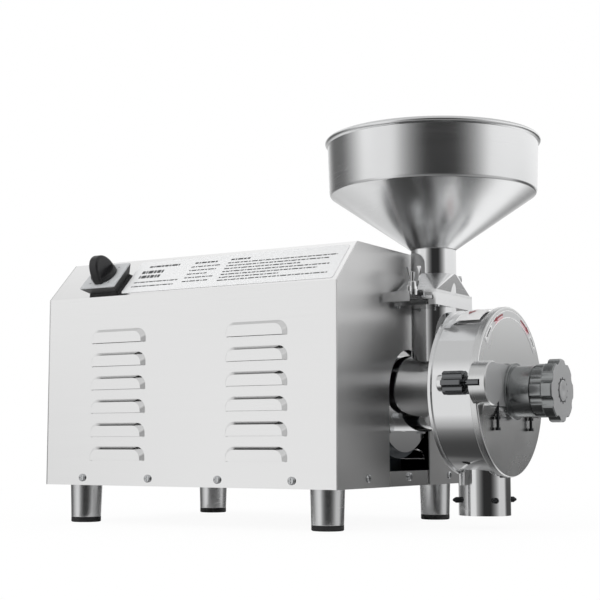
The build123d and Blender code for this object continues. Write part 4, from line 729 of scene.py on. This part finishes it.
# The label on the drum and its arrow's shaft: ends along the mill's shaft, and degrees round it.
DRUM_LABEL = ((0.1985, 0.2265), (94, 124))
DRUM_ARROW = ((0.2075, 0.2092), (96, 107))
DRUM_LABEL_T = 0.0002


def arrow_head(place, facing, angle, turning, size):
    """A flat triangle in the mesh being edited.

    It lies on the cover's face or, where facing is None, on the drum.
    """
    out = Vector((0, cos(angle), sin(angle)))
    round_the_shaft = Vector((0, -sin(angle), cos(angle))) * turning
    x, radius = place
    up = Vector(facing) if facing else out
    across = round_the_shaft.cross(up)
    turn = Matrix((across, round_the_shaft, up)).transposed().to_euler()
    half_width, length = size
    centre = Vector((x, SHAFT.y, SHAFT.z)) + out * radius + round_the_shaft * length / 3
    bpy.ops.mesh.primitive_cylinder_add(
        vertices=3, radius=1.0, depth=ARROW_T, location=centre, rotation=turn,
        scale=(half_width / cos(pi / 6), length / 1.5, 1))


class MILL_OT_switch(bpy.types.Operator):
    """Round the switch and add the marks on its face plate"""

    bl_idname = "mill.switch"
    bl_label = "Switch"

    def execute(self, context):
        refined("switch_base", "black_plastic", 0.0012, segments=3)
        refined("switch_plate", "grey_plastic", 0.0004)
        refined("switch_knob", "black_plastic", 0.0005, body="switch")
        places = []
        for a in (radians(turn) for turn in (45, 135, 225, 315)):
            along, up = SWITCH_AT[0] + MARKS_R * cos(a), SWITCH_AT[1] + MARKS_R * sin(a)
            places.append((on_shoulder(along, up, MARKS_OUT), (0.0024, 0.0009, 0.0001)))
        marks = blocks(places, (SHOULDER, 0, 0))
        finish_piece(marks, "switch_marks", "label_ink", "frame")
        return {"FINISHED"}


SWITCH_AT = (0.0785, 0.024)            # along the casing from its rear, and up the shoulder
MARKS_R = 0.0195                       # from the switch's axis to each mark
MARKS_OUT = 0.01305                    # how far the marks lie off the shoulder


class MILL_OT_hopper(bpy.types.Operator):
    """Spin the hopper with its rolled rim, and its neck"""

    bl_idname = "mill.hopper"
    bl_label = "Hopper"

    def execute(self, context):
        segments = context.scene.mill_detail.hopper_segments
        centre = (HOPPER_X, SHAFT.y, 0)
        bead_r, bead_at, bead_z = 3.4, 120.9, 438.5
        bead = [(bead_at + bead_r * cos(radians(a)), bead_z + bead_r * sin(radians(a)))
                for a in range(-75, 256, 22)]
        outside = [(26.0, 313.5), (27.2, 314.4), (117.6, 376.4), (118.5, 377.6), (118.6, 379.2),
                   (119.2, 380.2), (121.3, 434.9)]
        inside = [(119.9, 434.6), (117.6, 380.6), (116.4, 377.6), (26.2, 315.6), (24.6, 314.8),
                  (24.6, 313.5)]
        profile = outside + bead + inside
        shell = spun("hopper_shell", [(r * MM, z * MM) for r, z in profile], centre, "Z", segments)
        smooth(shell, 40)
        finish_piece(shell, "hopper_shell", "hopper_steel", "hopper",
                     ("hopper_bowl", "hopper_rim"))
        profile = [(26.0, 260.1), (26.0, 312.6), (25.6, 313.0), (25.6, 313.5), (24.6, 313.5),
                   (24.5, 260.1)]
        neck = spun("hopper_throat", [(r * MM, z * MM) for r, z in profile], centre, "Z", 128)
        round_edges(neck, 0.0001, 2)
        finish_piece(neck, "hopper_throat", "polished_tube", "hopper",
                     ("hopper_neck",))
        refined("hopper_foot", "hopper_steel", 0.0004, body="hopper")
        for node in ("upper_flange", "inlet_tube"):
            refined(node, "polished_tube", 0.0003)
        refined("gate_plate", "hopper_steel", 0.0003, body="gate")
        refined("wing_nut_near", "polished_steel", 0.0006, body="wing_near", segments=3)
        refined("wing_nut_far", "polished_steel", 0.0006, body="wing_far", segments=3)
        return {"FINISHED"}


class MILL_OT_head(bpy.types.Operator):
    """Round the edges of the drum, its cover, the clamp arm and the screws"""

    bl_idname = "mill.head"
    bl_label = "Grinding head"

    def execute(self, context):
        width = context.scene.mill_detail.edge_round
        refined("grinding_chamber", "polished_steel", width, segments=3)
        refined("chamber_lugs", "polished_steel", width)
        refined("feed_housing", "polished_steel", width)
        refined("cover_disc", "satin_steel", width, body="door")
        arm = refined("clamp_arm", "satin_steel", width, body="door", segments=3)
        face_off(arm, "faced_steel")
        refined("adjuster_hub", "knob_steel", width, body="door")
        knob = refined("adjusting_knob", "knob_steel", width, body="adjuster", segments=3)
        face_off(knob, "faced_steel")
        spindle = refined("adjusting_spindle", "machined_steel", width, body="adjuster")
        tip_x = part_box("adjusting_spindle")[0].x
        draw_back(spindle, tip_x + 2 * width, width / 2)
        refined("lock_screw", "star_steel", width, body="lock", segments=3)
        refined("hinge_pin", "bolt_steel", width / 2)
        refined("outlet_spout", "polished_tube", width / 2)
        refined("outlet_pins", "dark_bolt", width / 2)
        refined("arm_bolts", "dark_bolt", width / 3, body="door")
        return {"FINISHED"}


class MILL_OT_dial(bpy.types.Operator):
    """Add the ring of marks and the cap on the knob's face"""

    bl_idname = "mill.dial"
    bl_label = "Knob dial"

    def execute(self, context):
        count = context.scene.mill_detail.dial_ticks
        face, centre = KNOB_FACE_X, (0, SHAFT.y, SHAFT.z)
        (low, high), thick = DIAL_RING, 0.0001
        rings = [(low, face), (high, face), (high, face + thick), (low, face + thick)]
        ticks = spun("dial_ring", rings, centre, "X", 96)
        edit(ticks)
        for index in range(count):
            a = tau * index / count
            place = (face + TICK_T / 2, SHAFT.y + TICK_R * cos(a), SHAFT.z + TICK_R * sin(a))
            block(place, (TICK_T, 0.0026, 0.0022), (a, 0, 0))
        close_edit(False)
        finish_piece(ticks, "knob_dial_marks", "label_ink", "adjuster")
        radius, tall = CAP
        profile = [(0.2, 0), (radius, 0), (radius, tall - 0.5), (radius - 0.4, tall - 0.1),
                   (radius - 0.9, tall), (5.0, tall), (4.4, tall - 0.25), (0.2, tall - 0.4)]
        cap = spun("knob_cap", [(r * MM, face + x * MM) for r, x in profile], centre, "X", 96)
        smooth(cap, 30)
        finish_piece(cap, "knob_cap", "faced_steel", "adjuster", ("knob_screw",))
        return {"FINISHED"}


DIAL_RING = (0.0114, 0.0129)           # inner and outer radius of the ring round the cap
TICK_R = 0.0131                        # from the shaft's axis to the middle of each tick
TICK_T = 0.00014
CAP = (11.3, 1.2)                      # radius and height of the knob's cap, in mm


# ------------------------------------------------------------------ stage
class Wiring:
    """Adds shader nodes to one tree and wires them."""

    def __init__(self, tree):
        self.nodes, self.links = tree.nodes, tree.links

    def node(self, kind, *sources):
        """A node whose first inputs come from other nodes' outputs or from numbers."""
        made = self.nodes.new(kind)
        for index, value in enumerate(sources):
            if isinstance(value, bpy.types.NodeSocket):
                self.links.new(value, made.inputs[index])
            elif value is not None:
                made.inputs[index].default_value = value
        return made

    def math(self, operation, *values):
        made = self.node("ShaderNodeMath", *values)
        made.operation = operation
        return made.outputs[0]

    def ramp(self, source, stops):
        """Greys along a 0..1 value."""
        made = self.node("ShaderNodeValToRGB", source)
        elements = made.color_ramp.elements
        elements.remove(elements[1])
        elements[0].position = stops[0][0]
        elements[0].color = (*[stops[0][1]] * 3, 1)
        for position, value in stops[1:]:
            elements.new(position).color = (*[value] * 3, 1)
        return made.outputs["Color"]

    def heading(self, x, y):
        """The direction as turns: half a turn is behind the camera, and more is to its right."""
        angle = self.math("DIVIDE", self.math("ARCTAN2", y, x), tau)
        return self.math("FRACT", self.math("ADD", angle, CAMERA_SIDE / 360 + 1))

    def within(self, value, middle, half):
        """1 where the value lies within half of the middle, else 0."""
        away = self.math("ABSOLUTE", self.math("SUBTRACT", value, middle))
        return self.math("LESS_THAN", away, half)

    def band(self, source, ends):
        """1 between the two middle ends, fading to 0 at the outer ones."""
        return self.ramp(source, list(zip(ends, (0.0, 1.0, 1.0, 0.0))))


def height_of(tilt):
    """An angle up or down, in degrees, as a place from 0 straight down to 1 straight up."""
    return (sin(radians(tilt)) + 1) / 2


def studio_world(scene):
    """White for the camera; the surfaces are lit by, and mirror, a studio of soft boxes."""
    world = bpy.data.worlds.new("studio")
    scene.world = world
    world.use_nodes = True
    world.node_tree.nodes.clear()
    wire = Wiring(world.node_tree)
    place = wire.node("ShaderNodeTexCoord")
    split = wire.node("ShaderNodeSeparateXYZ", place.outputs["Generated"]).outputs
    turns = wire.heading(split["X"], split["Y"])
    height = wire.math("ADD", wire.math("MULTIPLY", split["Z"], 0.5), 0.5)
    room = wire.ramp(height, [(height_of(tilt), tone) for tilt, tone in WALLS])
    for across, up, tone in PANELS:
        spot = wire.math("MULTIPLY", wire.band(turns, [(a + 180) / 360 for a in across]),
                         wire.band(height, [height_of(tilt) for tilt in up]))
        kept = wire.math("MULTIPLY", room, wire.math("SUBTRACT", 1.0, spot))
        room = wire.math("ADD", kept, wire.math("MULTIPLY", spot, tone))
    room = wire.math("POWER", room, DISPLAY)

    path = wire.node("ShaderNodeLightPath").outputs
    seen = wire.node("ShaderNodeBackground", (1, 1, 1, 1), 1.0)
    around = wire.node("ShaderNodeBackground", room, 1.0)
    shown = wire.math("MAXIMUM", path["Is Camera Ray"], path["Is Transmission Ray"])
    final = wire.node("ShaderNodeMixShader", shown, around.outputs[0], seen.outputs[0])
    wire.node("ShaderNodeOutputWorld", final.outputs[0])


def studio_floor(material):
    """A white floor with the object's shadow.

    Polished metal mirrors the studio's lower half in its place, except beneath the casing.
    """
    tree = material.node_tree
    tree.nodes.clear()
    wire = Wiring(tree)
    place = wire.node("ShaderNodeTexCoord")
    away = wire.node("ShaderNodeVectorMath", place.outputs["Object"])
    away.operation = "LENGTH"
    path = wire.node("ShaderNodeLightPath").outputs
    paint = wire.node("ShaderNodeBsdfDiffuse", (0.9, 0.9, 0.9, 1))
    white = wire.node("ShaderNodeEmission", (1, 1, 1, 1), 1.0)
    clear = wire.node("ShaderNodeBsdfTransparent")
    split = wire.node("ShaderNodeSeparateXYZ", place.outputs["Object"]).outputs
    beneath = wire.math("MULTIPLY", wire.within(split["X"], MID_X, HALF_LENGTH),
                        wire.within(split["Y"], SHAFT.y, HALF_WIDTH))
    mirrored = wire.math("MULTIPLY", path["Is Glossy Ray"], wire.math("SUBTRACT", 1.0, beneath))
    fade = wire.ramp(wire.math("DIVIDE", away.outputs["Value"], FLOOR_REACH), FLOOR_FADE)
    seen = wire.math("MULTIPLY", fade, path["Is Camera Ray"])
    lit = wire.node("ShaderNodeMixShader", seen, paint.outputs[0], white.outputs[0])
    final = wire.node("ShaderNodeMixShader", mirrored, lit.outputs[0], clear.outputs[0])
    wire.node("ShaderNodeOutputMaterial", final.outputs[0])


DISPLAY = 2.2                          # from how bright a tone looks to the strength of its light
CAMERA_SIDE = 240                      # degrees that put what is behind the camera at half a turn
# The studio's walls: how bright they look, by degrees up from the floor's level.
WALLS = (
    (-90, 0.2), (-62, 0.3), (-45, 0.6), (-20, 0.7), (0, 0.85), (12, 1.0), (20, 1.0), (40, 0.8),
    (90, 0.8),
)
# Soft boxes and dark flags before the walls: where each fades in, is full, and fades out, in degrees
# to the right of the camera and in degrees up, and how bright it looks.
PANELS = (
    ((-50, -10, 20, 60), (-40, -10, 14, 35), 0.2),
    ((-168, -142, -118, -84), (-20, -10, 15, 30), 0.4),
    ((90, 105, 145, 165), (-20, -10, -2, 6), 0.3),
    ((-80, -66, -50, -40), (-50, -30, 20, 30), 0.92),
    ((95, 120, 145, 165), (-75, -50, -30, -20), 1.0),
    ((-165, -150, -130, -110), (-62, -50, -30, -20), 0.9),
    ((-152, -142, -134, -122), (25, 35, 64, 75), 1.0),
)
# How white the floor is for the camera, by distance from the middle of the mill.
FLOOR_REACH = 1.2
FLOOR_FADE = ((0.0, 0.93), (0.35, 0.955), (1.0, 1.0))


class MILL_OT_stage(bpy.types.Operator):
    """Set the floor, the light and the camera"""

    bl_idname = "mill.stage"
    bl_label = "Stage"

    def execute(self, context):
        scene = context.scene
        stage = scene.mill_stage
        clear_selection()
        bpy.ops.mesh.primitive_plane_add(size=24)
        floor = context.object
        floor.name = "floor"
        material = bpy.data.materials.new("floor_white")
        material.use_nodes = True
        studio_floor(material)
        floor.data.materials.append(material)

        studio_world(scene)
        for name, place, power, size in SOFT_BOXES:
            data = bpy.data.lights.new(name, "AREA")
            data.energy = power * stage.soft_boxes
            data.size = size
            lamp = bpy.data.objects.new(name, data)
            scene.collection.objects.link(lamp)
            lamp.location = place
            aim = Vector((0, 0, 0.2)) - Vector(place)
            lamp.rotation_euler = aim.to_track_quat("-Z", "Y").to_euler()
            lamp.visible_glossy = False
        data = bpy.data.cameras.new("camera")
        data.lens = stage.lens
        data.sensor_width = 36
        camera = bpy.data.objects.new("camera", data)
        scene.collection.objects.link(camera)
        camera.location = stage.camera_place
        turn, tilt = stage.camera_turn, stage.camera_tilt
        ahead = Vector((-sin(turn) * cos(tilt), cos(turn) * cos(tilt), sin(tilt)))
        camera.rotation_euler = ahead.to_track_quat("-Z", "Y").to_euler()
        scene.camera = camera
        scene.view_settings.view_transform = "Standard"
        return {"FINISHED"}


# Soft boxes: name, place, power in watts, size.
SOFT_BOXES = (
    ("key_box", (-1.2, -2.2, 2.2), 38, 2.2),
    ("fill_box", (2.4, -0.6, 1.4), 16, 2.0),
    ("top_box", (0.0, 0.6, 2.8), 22, 2.4),
)


# ------------------------------------------------------------------ panel
class MILL_PT_panel(bpy.types.Panel):
    """The mill's operators and settings"""

    bl_idname = "MILL_PT_panel"
    bl_label = "Grain Mill"
    bl_space_type = "VIEW_3D"
    bl_region_type = "UI"
    bl_category = "Grain Mill"

    def draw(self, context):
        for operator in OPERATORS:
            self.layout.operator(operator.bl_idname)
        for group in (context.scene.mill_finish, context.scene.mill_detail, context.scene.mill_stage):
            box = self.layout.box()
            for name in group.__annotations__:
                box.prop(group, name)


OPERATORS = (
    MILL_OT_finishes, MILL_OT_casing, MILL_OT_plate, MILL_OT_arrows, MILL_OT_switch,
    MILL_OT_hopper, MILL_OT_head, MILL_OT_dial, MILL_OT_stage,
)
SETTINGS = (
    ("mill_finish", MillFinishSettings), ("mill_detail", MillDetailSettings),
    ("mill_stage", MillStageSettings),
)


def register():
    for name, group in SETTINGS:
        bpy.utils.register_class(group)
        setattr(bpy.types.Scene, name, PointerProperty(type=group))
    for operator in OPERATORS:
        bpy.utils.register_class(operator)
    bpy.utils.register_class(MILL_PT_panel)


def unregister():
    bpy.utils.unregister_class(MILL_PT_panel)
    for operator in reversed(OPERATORS):
        bpy.utils.unregister_class(operator)
    for name, group in SETTINGS:
        delattr(bpy.types.Scene, name)
        bpy.utils.unregister_class(group)


def main():
    register()
    bpy.ops.mill.finishes()
    bpy.ops.mill.casing()
    bpy.ops.mill.plate()
    bpy.ops.mill.arrows()
    bpy.ops.mill.switch()
    bpy.ops.mill.hopper()
    bpy.ops.mill.head()
    bpy.ops.mill.dial()
    bpy.ops.mill.stage()


if __name__ == "__main__":
    main()
